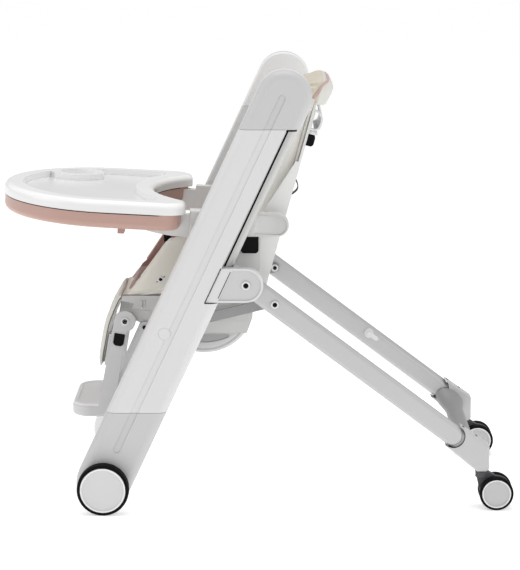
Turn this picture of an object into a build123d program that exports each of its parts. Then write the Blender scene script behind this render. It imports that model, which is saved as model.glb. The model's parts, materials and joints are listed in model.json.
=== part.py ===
from build123d import *
import os
from math import atan2, cos, degrees, hypot, radians, sin

# Baby high chair on slanted posts, in millimetres.
# X runs to the rear of the chair, Y to the child's right, Z up from the floor.
# The origin lies on the floor under the middle of the chair.

# Stance: the front axle is the datum for everything along X
tray_reach = 217.0
rear_reach = 830.0

# Slanted side posts
post_lean = 25.1
post_width = 110.0
post_span = 860.0
post_thick = 58.0
post_inner = 204.0
post_wall = 3.5
post_edge = 18.0
post_inner_edge = 4.0
axle_setback = 3.7
axle_drop = 5.4
foot_seam_z = 206.0
cap_seam_z = 777.0
seam_gap = 0.6
cover_cut = 30.0
groove_width = 14.0
groove_depth = 1.6
groove_behind = -4.4
groove_start = 70.0
groove_end = 866.0

# Aluminium rail that stands inside each post and carries the seat
rail_width = 48.0
rail_thick = 32.0
rail_wall = 3.0
rail_corner = 10.0
rail_slot = 14.0
rail_start = 60.0
rail_end = 838.0
rail_fit = 0.5
stop_count = 8
stop_pitch = 37.0
stop_radius = 3.5
stop_offset = 15.0

# Plug and cross tube of the posts
plug_radius = 12.0
plug_thick = 2.0
plug_along = 334.0
plug_behind = -17.0
plug_fit = 0.2
front_tube_radius = 14.0
front_tube_wall = 2.0
front_tube_along = 42.0
front_tube_behind = 16.0
tube_seat = 14.0

# Front wheels
wheel_radius = 52.5
wheel_width = 26.0
wheel_gap = 2.0
tyre_depth = 6.0
tyre_edge = 5.0
disc_inset = 1.6
disc_dish = 2.2
disc_rim = 4.0
axle_radius = 6.0

# Rear legs and their hinge brackets
pivot_along = 491.0
pivot_behind = 89.0
leg_aim_z = 107.5
leg_span = 523.0
leg_width = 48.0
leg_inner_width = 36.0
leg_thick = 26.0
leg_inner = 206.0
leg_wall = 2.0
leg_edge = 8.0
bracket_radius = 34.5
bracket_inset = 2.0
bracket_band = 22.0
bracket_rim = 4.5
bracket_recess = 3.0
bracket_soft = 1.2
bracket_web = 12.0
web_height = 46.0
part_gap = 0.4
pivot_radius = 6.0
pivot_head = 11.0
head_thick = 3.0
pin_fit = 0.06

# Rear feet, cross tube and tray hooks
foot_side = 3.0
foot_lip = 1.5
foot_top_z = 132.0
foot_bottom_z = 78.0
foot_nose = 14.0
foot_heel = 10.0
foot_plug = 50.0
foot_edge = 8.0
foot_round = 6.0
cross_radius = 14.0
cross_wide = 19.0
cross_wall = 2.0
cross_ahead = 28.0
cross_z = 116.0
flare_length = 76.0
flare_reach = 33.0
flare_width = 46.0
hook_along = 326.0
hook_up = 7.0
hook_long = 20.0
hook_radius = 10.0
hook_thick = 7.0
hook_peg = 5.0
hook_peg_length = 8.0

# Fold braces between legs and posts
brace_at = 72.0
brace_width = 20.0
brace_thick = 4.5
brace_gap = 3.8
brace_pin = 4.0
brace_head = 8.0

# Twin wheel casters
caster_radius = 34.5
caster_trail = 29.0
caster_wheel = 18.0
caster_web = 15.0
caster_gap = 1.0
caster_tyre = 4.6
caster_tyre_edge = 4.0
caster_hood_reach = 2.5
caster_axle = 4.0
stem_radius = 5.5
stem_length = 28.0
stem_collar = 13.0
stem_collar_height = 12.0
stem_gap = 0.5

# Seat arms, triggers and sliders
arm_along = 584.8
arm_tilt = 3.0
arm_inner = 166.0
arm_outer = 196.0
arm_rear = 102.0
arm_top = 26.0
arm_rear_low = -19.0
arm_belly = -29.0
arm_front = -192.0
arm_step = -98.0
tongue_inset = 3.0
arm_edge = 4.0
arm_rim = 4.0
arm_recess = 2.0
arm_panel = 46.0
hanger_thick = 14.0
hanger_front = -72.0
hanger_rear = 44.0
hanger_low = -178.0
trigger_front = 8.0
trigger_rear = 41.0
trigger_low = -57.0
trigger_slant = 14.0
trigger_thick = 12.0
trigger_round = 7.0
trigger_seat = 10.0
trigger_travel = 6.0
trigger_gap = 0.4
slider_length = 88.0
slider_width = 40.0
slider_head = 30.0
slider_head_thick = 7.0
slider_gap = 0.4

# Seat pan, belly shell and recline pins, measured from the arm's middle
pan_half = 102.0
pan_floor = -172.0
pan_lip = -161.0
pan_under = -239.0
pan_front = -242.0
pan_throat = -216.0
pan_rear = 28.0
pan_heel = -206.0
pan_wall = 4.0
pan_edge = 5.0
lug_front = -64.0
lug_rear = 20.0
lug_height = 24.0
rib_front = -219.0
rib_rear = -112.0
rib_z = -189.5
rib_fall = 10.0
rib_height = 3.0
rib_proud = 0.8
clip_dx = -197.6
clip_dz = -176.0
clip_length = 20.0
clip_width = 9.0
clip_wall = 2.2
clip_proud = 2.5
belly_half = 92.0
belly_front = -160.0
belly_rear = 16.0
belly_drop = 47.0
belly_wall = 4.0
belly_edge = 20.0
belly_panel = 2.0
belly_inset = 25.0
recline_dx = 3.6
recline_dz = -152.0
recline_pin = 6.0

# Footrest, measured from its hub
hub_dx = -234.6
hub_dz = -212.5
hub_radius = 22.0
hub_gap = 1.2
hub_pin = 5.0
ear_thick = 6.0
rest_thick = 12.5
rest_arm_width = 31.0
rest_arm_lean = 9.6
plate_top = -174.0
plate_thick = 28.0
plate_front = -113.0
plate_rear = -24.0
plate_corner = 40.0
plate_wall = 4.0
plate_edge = 8.0
plate_low_edge = 6.0
plate_tread = 1.4
tread_inset = 11.0
strut_dx = 40.0
strut_dz = -13.0
strut_boss = 11.0
strut_width = 15.0
strut_thick = 6.0
button_at = 40.0
button_width = 21.0
button_height = 25.0
button_depth = 6.0
button_proud = 2.0
button_travel = 3.0
button_gap = 0.4
button_round = 7.0
calf_top = 4.0
calf_low = -100.0
calf_half = 108.0
calf_thick = 13.0
calf_gap = 2.0
panel_thick = 4.0

# Seat cushion
cushion_gap = 0.4
seat_pad_thick = 34.0
seat_pad_crown = 9.0
wing_thick = 13.0
wing_top = -26.0
wing_reach = 158.0
wing_setback = 11.0
wing_slant = 92.0
seat_pad_rear = -18.0
channel_radius = 4.0
channel_pitch = 62.0

# Backrest, measured from the recline pivot along and behind its own lean
back_lean = 15.4
back_rear = 45.5
shell_thick = 5.0
shell_top = 424.0
shell_low = 24.0
shell_half = 146.0
shell_top_half = 124.0
shell_side = 6.0
side_front = -10.0
side_full = 150.0
side_end = 296.0
lug_radius = 20.0
shell_corner = 40.0
back_pad_front = -28.0
back_pad_low = 26.0
back_pad_top = 470.0
back_crest = 44.0
shoulder_drop = 52.0
bulge_drop = 18.0
bulge_share = 0.42
roll_drop = 4.0
roll_share = 0.62
back_pad_corner = 48.0
back_pad_clear = 12.0
back_pad_crown = 16.0
tuft_pitch = 99.0
back_pad_side = 12.0
pocket_rear = 77.0
pocket_hem = 19.0
pocket_drop = 20.0
hem_gap = 3.0
handle_low = 358.0
handle_high = 401.0
handle_out = 22.5
handle_half = 88.0
handle_bar = 4.0
handle_round = 20.0
handle_heel = 13.5
handle_hoop = 10.0
handle_travel = 8.0
adjuster_low = 318.0
adjuster_high = 343.0
adjuster_out = 21.0
adjuster_half = 21.0
ledge_thick = 6.0
ledge_out = 23.0
ledge_half = 24.0
ledge_soft = 2.0

# Harness
strap_width = 25.0
strap_thick = 2.0
shoulder_spread = 92.0
shoulder_low = 78.0
shoulder_high = 332.0
crotch_length = 58.0
crotch_at = -152.0
buckle_width = 46.0
buckle_length = 40.0
buckle_thick = 14.0

# Tray, in its own tilted plane at the seam between top and base
tray_seam = 21.3
tray_half = 257.0
tray_length = 384.0
tray_nose = 225.0
tray_bite = 74.0
tray_bite_half = 188.0
tray_corner = 44.0
tray_lobe = 18.0
tray_rim_height = 23.5
tray_rim_width = 38.0
tray_rim_round = 12.0
tray_recess = 12.0
tray_skin = 3.5
tray_side = 4.0
tray_skirt = 8.0
tray_base_height = 32.5
tray_base_inset = 1.5
tray_base_short = 9.0
tray_base_round = 12.0
tray_gap = 0.4
cup_x = 136.0
cup_y = 158.0
cup_radius = 36.0
cup_island = 58.0
cup_depth = 19.0
channel_rib = 3.0
channel_front = 200.0
channel_gap = 0.5
latch_x = 256.0
latch_length = 14.0
latch_drop = 18.0
latch_rise = 16.0
cut_over = 2.0

# Places worked out from the driving sizes
lean = radians(post_lean)
axle_x = (tray_reach - rear_reach) / 2
post_x = axle_x + axle_drop * sin(lean) - axle_setback * cos(lean)
post_z = wheel_radius + axle_drop * cos(lean) + axle_setback * sin(lean)
post_half = post_width / 2
post_outer = post_inner + post_thick
rail_rear = post_half - post_wall - rail_fit
rail_front = rail_rear - rail_width
rail_mid = (rail_front + rail_rear) / 2
rail_outer = post_inner + rail_thick

caster_x = axle_x + rear_reach - caster_radius
stem_x = caster_x - caster_trail


def post_point(along, behind):
    # a spot in the side view, along the post's axis from the axle and behind that axis
    return (
        post_x + along * sin(lean) + behind * cos(lean),
        post_z + along * cos(lean) - behind * sin(lean),
    )


def post_level(height, behind):
    # the spot at a given height on a line parallel to the post's axis
    return post_point((height - post_z + behind * sin(lean)) / cos(lean), behind)


def tilted(spot, angle):
    # side view plane at a spot whose second axis leans back from vertical by an angle
    turn = radians(angle)
    return Plane(
        origin=(spot[0], 0, spot[1]),
        x_dir=(cos(turn), 0, -sin(turn)),
        z_dir=(0, -1, 0),
    )


post_plane = tilted((post_x, post_z), post_lean)
axle_spot = (axle_x, wheel_radius)
pivot_spot = post_point(pivot_along, pivot_behind)
leg_fall = degrees(atan2(pivot_spot[1] - leg_aim_z, stem_x - pivot_spot[0]))
leg_plane = tilted(pivot_spot, leg_fall)
leg_outer = leg_inner + leg_thick
leg_middle = leg_inner + leg_thick / 2
bracket_outer = post_outer - bracket_inset
bracket_low = pivot_spot[1] - bracket_radius
bracket_high = pivot_spot[1] + bracket_radius

seat_spot = post_point(arm_along, rail_mid)
arm_plane = tilted(seat_spot, arm_tilt)


def seat_point(dx, dz):
    # a spot in the side view measured from the middle of the arms
    return (seat_spot[0] + dx, seat_spot[1] + dz)


def flat_point(plane, first, second):
    # side view spot of a point given in a tilted side plane
    spot = plane.from_local_coords((first, second, 0))
    return (spot.X, spot.Z)


def bar_along_y(spot, radius, start, end, mode=Mode.ADD):
    # round bar across the chair on its left side
    with BuildSketch(Plane.XZ.offset(start)) as section:
        with Locations(spot):
            Circle(radius)
    extrude(section.sketch, amount=end - start, mode=mode)


def write(piece, name):
    piece.part.label = name
    export_step(piece.part, f"parts/{name}.step")


def write_pair(piece, name):
    write(piece, f"left_{name}")
    with BuildPart() as other:
        mirror(piece.part, about=Plane.XZ)
    write(other, f"right_{name}")


os.makedirs("parts", exist_ok=True)

# Hollow inside a post: follows the rounded outer edge at one wall's distance
hollow_width = post_half - post_wall + cover_cut - post_wall
hollow_middle = (cover_cut - post_half) / 2
with BuildPart() as post_hollow:
    with BuildSketch(post_plane.offset(post_inner + post_wall)):
        with Locations((hollow_middle, post_span / 2)):
            SlotCenterToCenter(post_span, hollow_width, rotation=90)
    extrude(amount=post_thick - 2 * post_wall)
    fillet(post_hollow.faces().sort_by(Axis.Y)[0].edges(), post_edge - post_wall)

# Post blank: a rounded slab with a hollow front and a channel for the rail, parted below
with BuildPart() as post_blank:
    with BuildSketch(post_plane.offset(post_inner)):
        with Locations((0, post_span / 2)):
            SlotCenterToCenter(post_span, post_width, rotation=90)
    extrude(amount=post_thick)
    fillet(post_blank.faces().sort_by(Axis.Y)[0].edges(), post_edge)
    fillet(post_blank.faces().sort_by(Axis.Y)[-1].edges(), post_inner_edge)
    add(post_hollow.part, mode=Mode.SUBTRACT)
    with BuildSketch(post_plane.offset(post_inner - cut_over)):
        with Locations((rail_mid, (rail_start + rail_end) / 2)):
            Rectangle(rail_width + 2 * rail_fit, rail_end - rail_start + 2 * rail_fit)
    extrude(amount=rail_thick + rail_fit + cut_over, mode=Mode.SUBTRACT)
    with BuildSketch(post_plane.offset(post_outer - groove_depth)):
        with Locations((groove_behind, (groove_start + groove_end) / 2)):
            SlotOverall(groove_end - groove_start, groove_width, rotation=90)
    extrude(amount=groove_depth + cut_over, mode=Mode.SUBTRACT)

# Post foot around the front axle and the end of the front cross tube
front_tube_spot = post_point(front_tube_along, front_tube_behind)
with BuildPart() as post_foot:
    add(post_blank.part)
    split(bisect_by=Plane.XY.offset(foot_seam_z - seam_gap / 2), keep=Keep.BOTTOM)
    bar_along_y(axle_spot, axle_radius + pin_fit, post_inner - cut_over, post_outer + cut_over, Mode.SUBTRACT)
    bar_along_y(
        front_tube_spot,
        front_tube_radius + plug_fit,
        post_inner - cut_over,
        post_inner + tube_seat,
        Mode.SUBTRACT,
    )
write_pair(post_foot, "post_foot")

# Post cover, cut back above the bracket so that the rail shows
plug_spot = post_point(plug_along, plug_behind)
with BuildPart() as post_cover:
    add(post_blank.part)
    split(bisect_by=Plane.XY.offset(foot_seam_z + seam_gap / 2), keep=Keep.TOP)
    split(bisect_by=Plane.XY.offset(cap_seam_z - seam_gap / 2), keep=Keep.BOTTOM)
    with BuildSketch(Plane.XZ.offset(post_inner - cut_over)):
        with BuildLine():
            Polyline(
                post_level(bracket_low - part_gap, cover_cut),
                post_level(bracket_low - part_gap, post_width),
                post_level(cap_seam_z + cut_over, post_width),
                post_level(cap_seam_z + cut_over, cover_cut),
                close=True,
            )
        make_face()
    extrude(amount=post_thick + 2 * cut_over, mode=Mode.SUBTRACT)
    bar_along_y(
        plug_spot, plug_radius + plug_fit, post_outer - plug_thick, post_outer + cut_over, Mode.SUBTRACT
    )
write_pair(post_cover, "post_cover")

# Post cap
with BuildPart() as post_cap:
    add(post_blank.part)
    split(bisect_by=Plane.XY.offset(cap_seam_z + seam_gap / 2), keep=Keep.TOP)
write_pair(post_cap, "post_cap")

# Flush plugs in the covers
with BuildPart() as post_plugs:
    bar_along_y(plug_spot, plug_radius, post_outer - plug_thick, post_outer)
    mirror(about=Plane.XZ)
write(post_plugs, "post_plugs")

# Rail: an extruded channel, open towards the seat, with a row of height stops
rail_base = post_point(rail_start, rail_mid)
rail_plane = Plane(
    origin=(rail_base[0], -(post_inner + rail_thick / 2), rail_base[1]),
    x_dir=(cos(lean), 0, -sin(lean)),
    z_dir=(sin(lean), 0, cos(lean)),
)
with BuildPart() as post_rail:
    with BuildSketch(rail_plane):
        RectangleRounded(rail_width, rail_thick, rail_corner)
        RectangleRounded(
            rail_width - 2 * rail_wall,
            rail_thick - 2 * rail_wall,
            rail_corner - rail_wall,
            mode=Mode.SUBTRACT,
        )
        with Locations((0, rail_thick / 2)):
            Rectangle(rail_slot, 4 * rail_wall, mode=Mode.SUBTRACT)
    extrude(amount=rail_end - rail_start)
    with BuildSketch(post_plane.offset(post_inner - cut_over)):
        with Locations((rail_mid + stop_offset, arm_along)):
            with GridLocations(0, stop_pitch, 1, stop_count):
                Circle(stop_radius)
    extrude(amount=rail_wall + 2 * cut_over, mode=Mode.SUBTRACT)
write_pair(post_rail, "post_rail")

# Cross tube between the post feet
with BuildPart() as front_cross_tube:
    tube_half = post_inner + tube_seat - part_gap
    bar_along_y(front_tube_spot, front_tube_radius, -tube_half, tube_half)
    bar_along_y(
        front_tube_spot,
        front_tube_radius - front_tube_wall,
        -tube_half - cut_over,
        tube_half + cut_over,
        Mode.SUBTRACT,
    )
write(front_cross_tube, "front_cross_tube")

# Front axles, each with a head outside its wheel disc
wheel_inner = post_outer + wheel_gap
wheel_outer = wheel_inner + wheel_width
with BuildPart() as front_axles:
    bar_along_y(axle_spot, axle_radius, post_inner, wheel_outer - disc_rim - part_gap)
    mirror(about=Plane.XZ)
write(front_axles, "front_axles")


def wheel_disc(middle, outer_radius, width, bore, rim, dish):
    # half section of a disc: flat back, rounded rim and a shallow dish on its outer face
    half = width / 2
    with BuildSketch(Plane.XY.offset(middle[2])) as section:
        with BuildLine():
            Polyline(
                (middle[0] + bore, middle[1] + half),
                (middle[0] + outer_radius, middle[1] + half),
                (middle[0] + outer_radius, middle[1] - half + dish),
                (middle[0] + outer_radius - dish, middle[1] - half),
                (middle[0] + outer_radius - rim, middle[1] - half),
                (middle[0] + outer_radius - rim - dish, middle[1] - half + dish),
                (middle[0] + bore, middle[1] - half + dish),
                close=True,
            )
        make_face()
    turn = Axis((middle[0], middle[1], middle[2]), (0, 1, 0))
    revolve(section.sketch, axis=turn)


def tyre_ring(middle, outer_radius, inner_radius, width, edge):
    # half section of a tyre with rounded shoulders
    with BuildSketch(Plane.XY.offset(middle[2])) as section:
        with Locations((middle[0] + (outer_radius + inner_radius) / 2, middle[1])):
            Rectangle(outer_radius - inner_radius, width)
        fillet(section.vertices().group_by(Axis.X)[-1], edge)
    turn = Axis((middle[0], middle[1], middle[2]), (0, 1, 0))
    revolve(section.sketch, axis=turn)


# Front wheels: plain disc with a closed outer face, and its tyre
wheel_middle = (axle_x, -(wheel_inner + wheel_width / 2), wheel_radius)
rim_radius = wheel_radius - tyre_depth
with BuildPart() as front_wheel:
    wheel_disc(wheel_middle, rim_radius - pin_fit, wheel_width - disc_inset, 0, disc_rim, disc_dish)
    bar_along_y(
        axle_spot, axle_radius + pin_fit, wheel_inner - cut_over, wheel_outer - disc_rim, Mode.SUBTRACT
    )
write_pair(front_wheel, "front_wheel")

with BuildPart() as front_tyre:
    tyre_ring(wheel_middle, wheel_radius, rim_radius, wheel_width, tyre_edge)
write_pair(front_tyre, "front_tyre")

# Hinge bracket: a D-shaped cheek over the rail with a raised rim and a web behind the rail
cheek_inner = rail_outer + part_gap
with BuildPart() as leg_bracket:
    with BuildSketch(Plane.XZ.offset(cheek_inner)):
        with BuildLine():
            first = post_level(bracket_high, cover_cut + part_gap)
            last = post_level(bracket_low, cover_cut + part_gap)
            Line(first, (pivot_spot[0], bracket_high))
            ThreePointArc(
                (pivot_spot[0], bracket_high),
                (pivot_spot[0] + bracket_radius, pivot_spot[1]),
                (pivot_spot[0], bracket_low),
            )
            Polyline((pivot_spot[0], bracket_low), last, first)
        make_face()
    extrude(amount=bracket_outer - cheek_inner)
    with BuildSketch(Plane.XZ.offset(bracket_outer - bracket_recess)):
        with BuildLine():
            panel_high = bracket_high - bracket_rim
            panel_low = bracket_low + bracket_rim
            panel_radius = bracket_radius - bracket_rim
            panel_first = post_level(panel_high, cover_cut + bracket_band)
            Line(panel_first, (pivot_spot[0], panel_high))
            ThreePointArc(
                (pivot_spot[0], panel_high),
                (pivot_spot[0] + panel_radius, pivot_spot[1]),
                (pivot_spot[0], panel_low),
            )
            Polyline((pivot_spot[0], panel_low), post_level(panel_low, cover_cut + bracket_band), panel_first)
        make_face()
    extrude(amount=bracket_recess + cut_over, mode=Mode.SUBTRACT)
    fillet(leg_bracket.faces().sort_by(Axis.Y)[0].edges(), bracket_soft)
    with BuildSketch(post_plane.offset(leg_inner)):
        with Locations((rail_rear + part_gap + bracket_web / 2, pivot_along)):
            Rectangle(bracket_web, web_height)
    extrude(amount=cheek_inner - leg_inner + part_gap)
    bar_along_y(pivot_spot, pivot_radius + pin_fit, leg_inner, bracket_outer + cut_over, Mode.SUBTRACT)
write_pair(leg_bracket, "leg_bracket")

# Leg pivot rivets: a head inside each leg and a cap on the bracket
with BuildPart() as leg_pivots:
    bar_along_y(pivot_spot, pivot_radius, leg_inner - part_gap - head_thick, bracket_outer - bracket_recess)
    bar_along_y(pivot_spot, pivot_head, leg_inner - part_gap - head_thick, leg_inner - part_gap)
    bar_along_y(
        pivot_spot, pivot_head - head_thick, bracket_outer - bracket_recess, bracket_outer - part_gap
    )
    mirror(about=Plane.XZ)
write(leg_pivots, "leg_pivots")

# Rear leg: flattened tube with rounded ends
leg_bore = Plane(
    origin=leg_plane.from_local_coords((-leg_width, 0, leg_middle)),
    x_dir=(0, 1, 0),
    z_dir=leg_plane.x_dir,
)
brace_spot = flat_point(leg_plane, brace_at, 0)
leg_narrow = (leg_width - leg_inner_width) / 2


def leg_bore_shape(gap):
    # section of the leg's hollow, drawn in by a gap: wide outside, narrow inside
    depth = leg_thick / 2 - leg_wall - gap
    wide = leg_width / 2 - leg_wall - leg_narrow / 4 - gap
    narrow = leg_inner_width / 2 - leg_wall + leg_narrow / 8 - gap
    with BuildSketch(Plane.XY) as shape:
        with BuildLine():
            Polyline((-depth, -wide), (-depth, wide), (depth, narrow), (depth, -narrow), close=True)
        make_face()
        fillet(shape.vertices(), leg_edge - leg_wall)
    return shape.sketch


with BuildPart() as leg_tube:
    with BuildSketch(leg_plane.offset(leg_inner)):
        with Locations((leg_span / 2, 0)):
            SlotCenterToCenter(leg_span, leg_inner_width)
    with BuildSketch(leg_plane.offset(leg_outer)):
        with Locations((leg_span / 2, 0)):
            SlotCenterToCenter(leg_span, leg_width)
    loft()
    fillet(leg_tube.faces().sort_by(Axis.Y)[0].edges(), leg_edge)
    fillet(leg_tube.faces().sort_by(Axis.Y)[-1].edges(), leg_edge)
    with BuildSketch(leg_bore):
        add(leg_bore_shape(0))
    extrude(amount=leg_span + 2 * leg_width, mode=Mode.SUBTRACT)
    bar_along_y(pivot_spot, pivot_radius + pin_fit, leg_inner - cut_over, leg_outer + cut_over, Mode.SUBTRACT)
    bar_along_y(brace_spot, brace_pin + pin_fit, leg_inner - cut_over, leg_outer + cut_over, Mode.SUBTRACT)
write_pair(leg_tube, "leg_tube")

# Rear foot: wedge that continues the leg, with a plug in the tube and a socket for the caster stem
foot_inner = leg_inner - foot_side
foot_outer = leg_outer + foot_side
foot_back = stem_x + foot_nose
foot_reach = leg_width / 2 + foot_lip
plug_plane = leg_bore.offset(leg_span + leg_width - foot_plug)
cross_spot = (stem_x - cross_ahead, cross_z)
leg_end = flat_point(leg_plane, leg_span, 0)
with BuildPart() as rear_foot:
    with BuildSketch(Plane.XZ.offset(foot_inner)) as foot_side_view:
        with BuildLine():
            Polyline(
                flat_point(leg_plane, leg_span, foot_reach),
                (foot_back, foot_top_z),
                (foot_back, foot_bottom_z),
                (stem_x - foot_heel, foot_bottom_z),
                flat_point(leg_plane, leg_span, -foot_reach),
                close=True,
            )
        make_face()
        fillet(foot_side_view.vertices().group_by(Axis.X)[-1], foot_edge)
    extrude(amount=foot_outer - foot_inner)
    fillet(rear_foot.faces().sort_by(Axis.Y)[0].edges().sort_by(Axis.X)[1:], foot_round)
    fillet(rear_foot.faces().sort_by(Axis.Y)[-1].edges().sort_by(Axis.X)[1:], foot_round / 2)
    bar_along_y(
        leg_end, leg_width / 2 + part_gap, foot_inner - cut_over, foot_outer + cut_over, Mode.SUBTRACT
    )
    with BuildSketch(plug_plane):
        add(leg_bore_shape(part_gap))
    extrude(amount=foot_plug + leg_width)
    bar_along_y(
        cross_spot, cross_radius + plug_fit, foot_inner - cut_over, foot_inner + tube_seat, Mode.SUBTRACT
    )
    with BuildSketch(Plane.XY.offset(foot_bottom_z - cut_over)):
        with Locations((stem_x, -leg_middle)):
            Circle(stem_radius + pin_fit)
    extrude(amount=stem_length + cut_over + part_gap, mode=Mode.SUBTRACT)
write_pair(rear_foot, "rear_foot")

# Cross bar between the rear feet: an oval tube that swells in a smooth flare towards the legs
flare_shift = (flare_reach / 3, cross_radius / 4)
flare_end = foot_inner - part_gap
bar_end = flare_end - flare_length
with BuildPart() as rear_cross_tube:
    cross_half = foot_inner + tube_seat - part_gap
    for share in (0.0, 0.25, 0.55, 1.0):
        swell = (1 - share) ** 2
        middle = flat_point(tilted(cross_spot, leg_fall), -flare_shift[0] * swell, flare_shift[1] * swell)
        with BuildSketch(Plane.XZ.offset(flare_end - share * flare_length)):
            with Locations(middle):
                Ellipse(
                    cross_wide + (flare_reach - cross_wide) * swell,
                    cross_radius + (flare_width / 2 - cross_radius) * swell,
                    rotation=-leg_fall * swell,
                )
    loft()
    mirror(about=Plane.XZ)
    with BuildSketch(Plane.XZ.offset(-bar_end)):
        with Locations(cross_spot):
            Ellipse(cross_wide, cross_radius)
    extrude(amount=2 * bar_end)
    bar_along_y(cross_spot, cross_radius, -cross_half, cross_half)
    bar_along_y(
        cross_spot, cross_radius - cross_wall, -cross_half - cut_over, cross_half + cut_over, Mode.SUBTRACT
    )
write(rear_cross_tube, "rear_cross_tube")

# Teardrop hooks on the inner faces of the legs, where the tray hangs when it is off
with BuildPart() as tray_hooks:
    with BuildSketch(leg_plane.offset(leg_inner - hook_thick)):
        with Locations((hook_along, hook_up)):
            Circle(hook_radius)
        with Locations((hook_along + hook_long / 2, hook_up)):
            Rectangle(hook_long, hook_radius)
        with Locations((hook_along + hook_long, hook_up)):
            Circle(hook_radius / 2)
    extrude(amount=hook_thick)
    bar_along_y(
        flat_point(leg_plane, hook_along, hook_up),
        hook_peg,
        leg_inner - hook_thick - hook_peg_length,
        leg_inner - hook_thick,
    )
    mirror(about=Plane.XZ)
write(tray_hooks, "tray_hooks")

# Fold braces and the rivets that join them to the legs
brace_outer = leg_inner - brace_gap
brace_inner = brace_outer - brace_thick
brace_run = (plug_spot[0] - brace_spot[0], plug_spot[1] - brace_spot[1])
brace_length = hypot(brace_run[0], brace_run[1])
brace_plane = Plane(
    origin=(brace_spot[0], 0, brace_spot[1]),
    x_dir=(brace_run[0], 0, brace_run[1]),
    z_dir=(0, -1, 0),
)
with BuildPart() as fold_brace:
    with BuildSketch(brace_plane.offset(brace_inner)):
        with Locations((brace_length / 2, 0)):
            SlotCenterToCenter(brace_length, brace_width)
        with Locations((0, 0), (brace_length, 0)):
            Circle(brace_pin + pin_fit, mode=Mode.SUBTRACT)
    extrude(amount=brace_thick)
write_pair(fold_brace, "fold_brace")

with BuildPart() as brace_rivets:
    bar_along_y(brace_spot, brace_pin, brace_inner - part_gap, leg_outer + part_gap)
    bar_along_y(brace_spot, brace_head, brace_inner - part_gap - head_thick, brace_inner - part_gap)
    bar_along_y(brace_spot, brace_head, leg_outer + part_gap, leg_outer + part_gap + head_thick)
    mirror(about=Plane.XZ)
write(brace_rivets, "brace_rivets")

# Casters: hooded web with its stem and axle ends, two discs and two tyres
caster_spot = (caster_x, caster_radius)
hood_radius = caster_radius - caster_tyre + caster_hood_reach
collar_top = foot_bottom_z - stem_gap
collar_low = collar_top - stem_collar_height
wheel_offset = caster_web / 2 + caster_gap + caster_wheel / 2
caster_span = wheel_offset + caster_wheel / 2 - caster_tyre
with BuildPart() as caster_hood:
    with BuildSketch(Plane.XZ.offset(leg_middle - caster_web / 2)) as hood_side_view:
        with Locations(caster_spot):
            Circle(hood_radius)
        with BuildLine():
            Polyline(
                (stem_x - stem_collar, collar_top - part_gap),
                (stem_x + stem_collar, collar_top - part_gap),
                (caster_x, caster_radius + hood_radius),
                caster_spot,
                (caster_x - hood_radius, caster_radius),
                close=True,
            )
        make_face()
    extrude(amount=caster_web)
    with BuildSketch(Plane.XY.offset(collar_low)):
        with Locations((stem_x, -leg_middle)):
            Circle(stem_collar)
    extrude(amount=stem_collar_height)
    with BuildSketch(Plane.XY.offset(collar_low)):
        with Locations((stem_x, -leg_middle)):
            Circle(stem_radius)
    extrude(amount=stem_collar_height + stem_gap + stem_length)
    bar_along_y(caster_spot, caster_axle, leg_middle - caster_span, leg_middle + caster_span)
write_pair(caster_hood, "caster_hood")

caster_disc_radius = caster_radius - caster_tyre
with BuildPart() as caster_discs:
    for side in (-1, 1):
        with BuildPart(mode=Mode.PRIVATE) as one_disc:
            wheel_disc(
                (caster_x, -wheel_offset, caster_radius),
                caster_disc_radius - pin_fit,
                caster_wheel - disc_inset,
                0,
                disc_rim,
                disc_dish,
            )
            bar_along_y(
                caster_spot,
                caster_axle + pin_fit,
                0,
                caster_span + part_gap,
                Mode.SUBTRACT,
            )
        placed = one_disc.part if side < 0 else mirror(one_disc.part, about=Plane.XZ, mode=Mode.PRIVATE)
        add(placed.moved(Location((0, -leg_middle, 0))))
write_pair(caster_discs, "caster_discs")

with BuildPart() as caster_tyres:
    for side in (-1, 1):
        tyre_ring(
            (caster_x, -leg_middle + side * wheel_offset, caster_radius),
            caster_radius,
            caster_disc_radius,
            caster_wheel,
            caster_tyre_edge,
        )
write_pair(caster_tyres, "caster_tyres")

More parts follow.
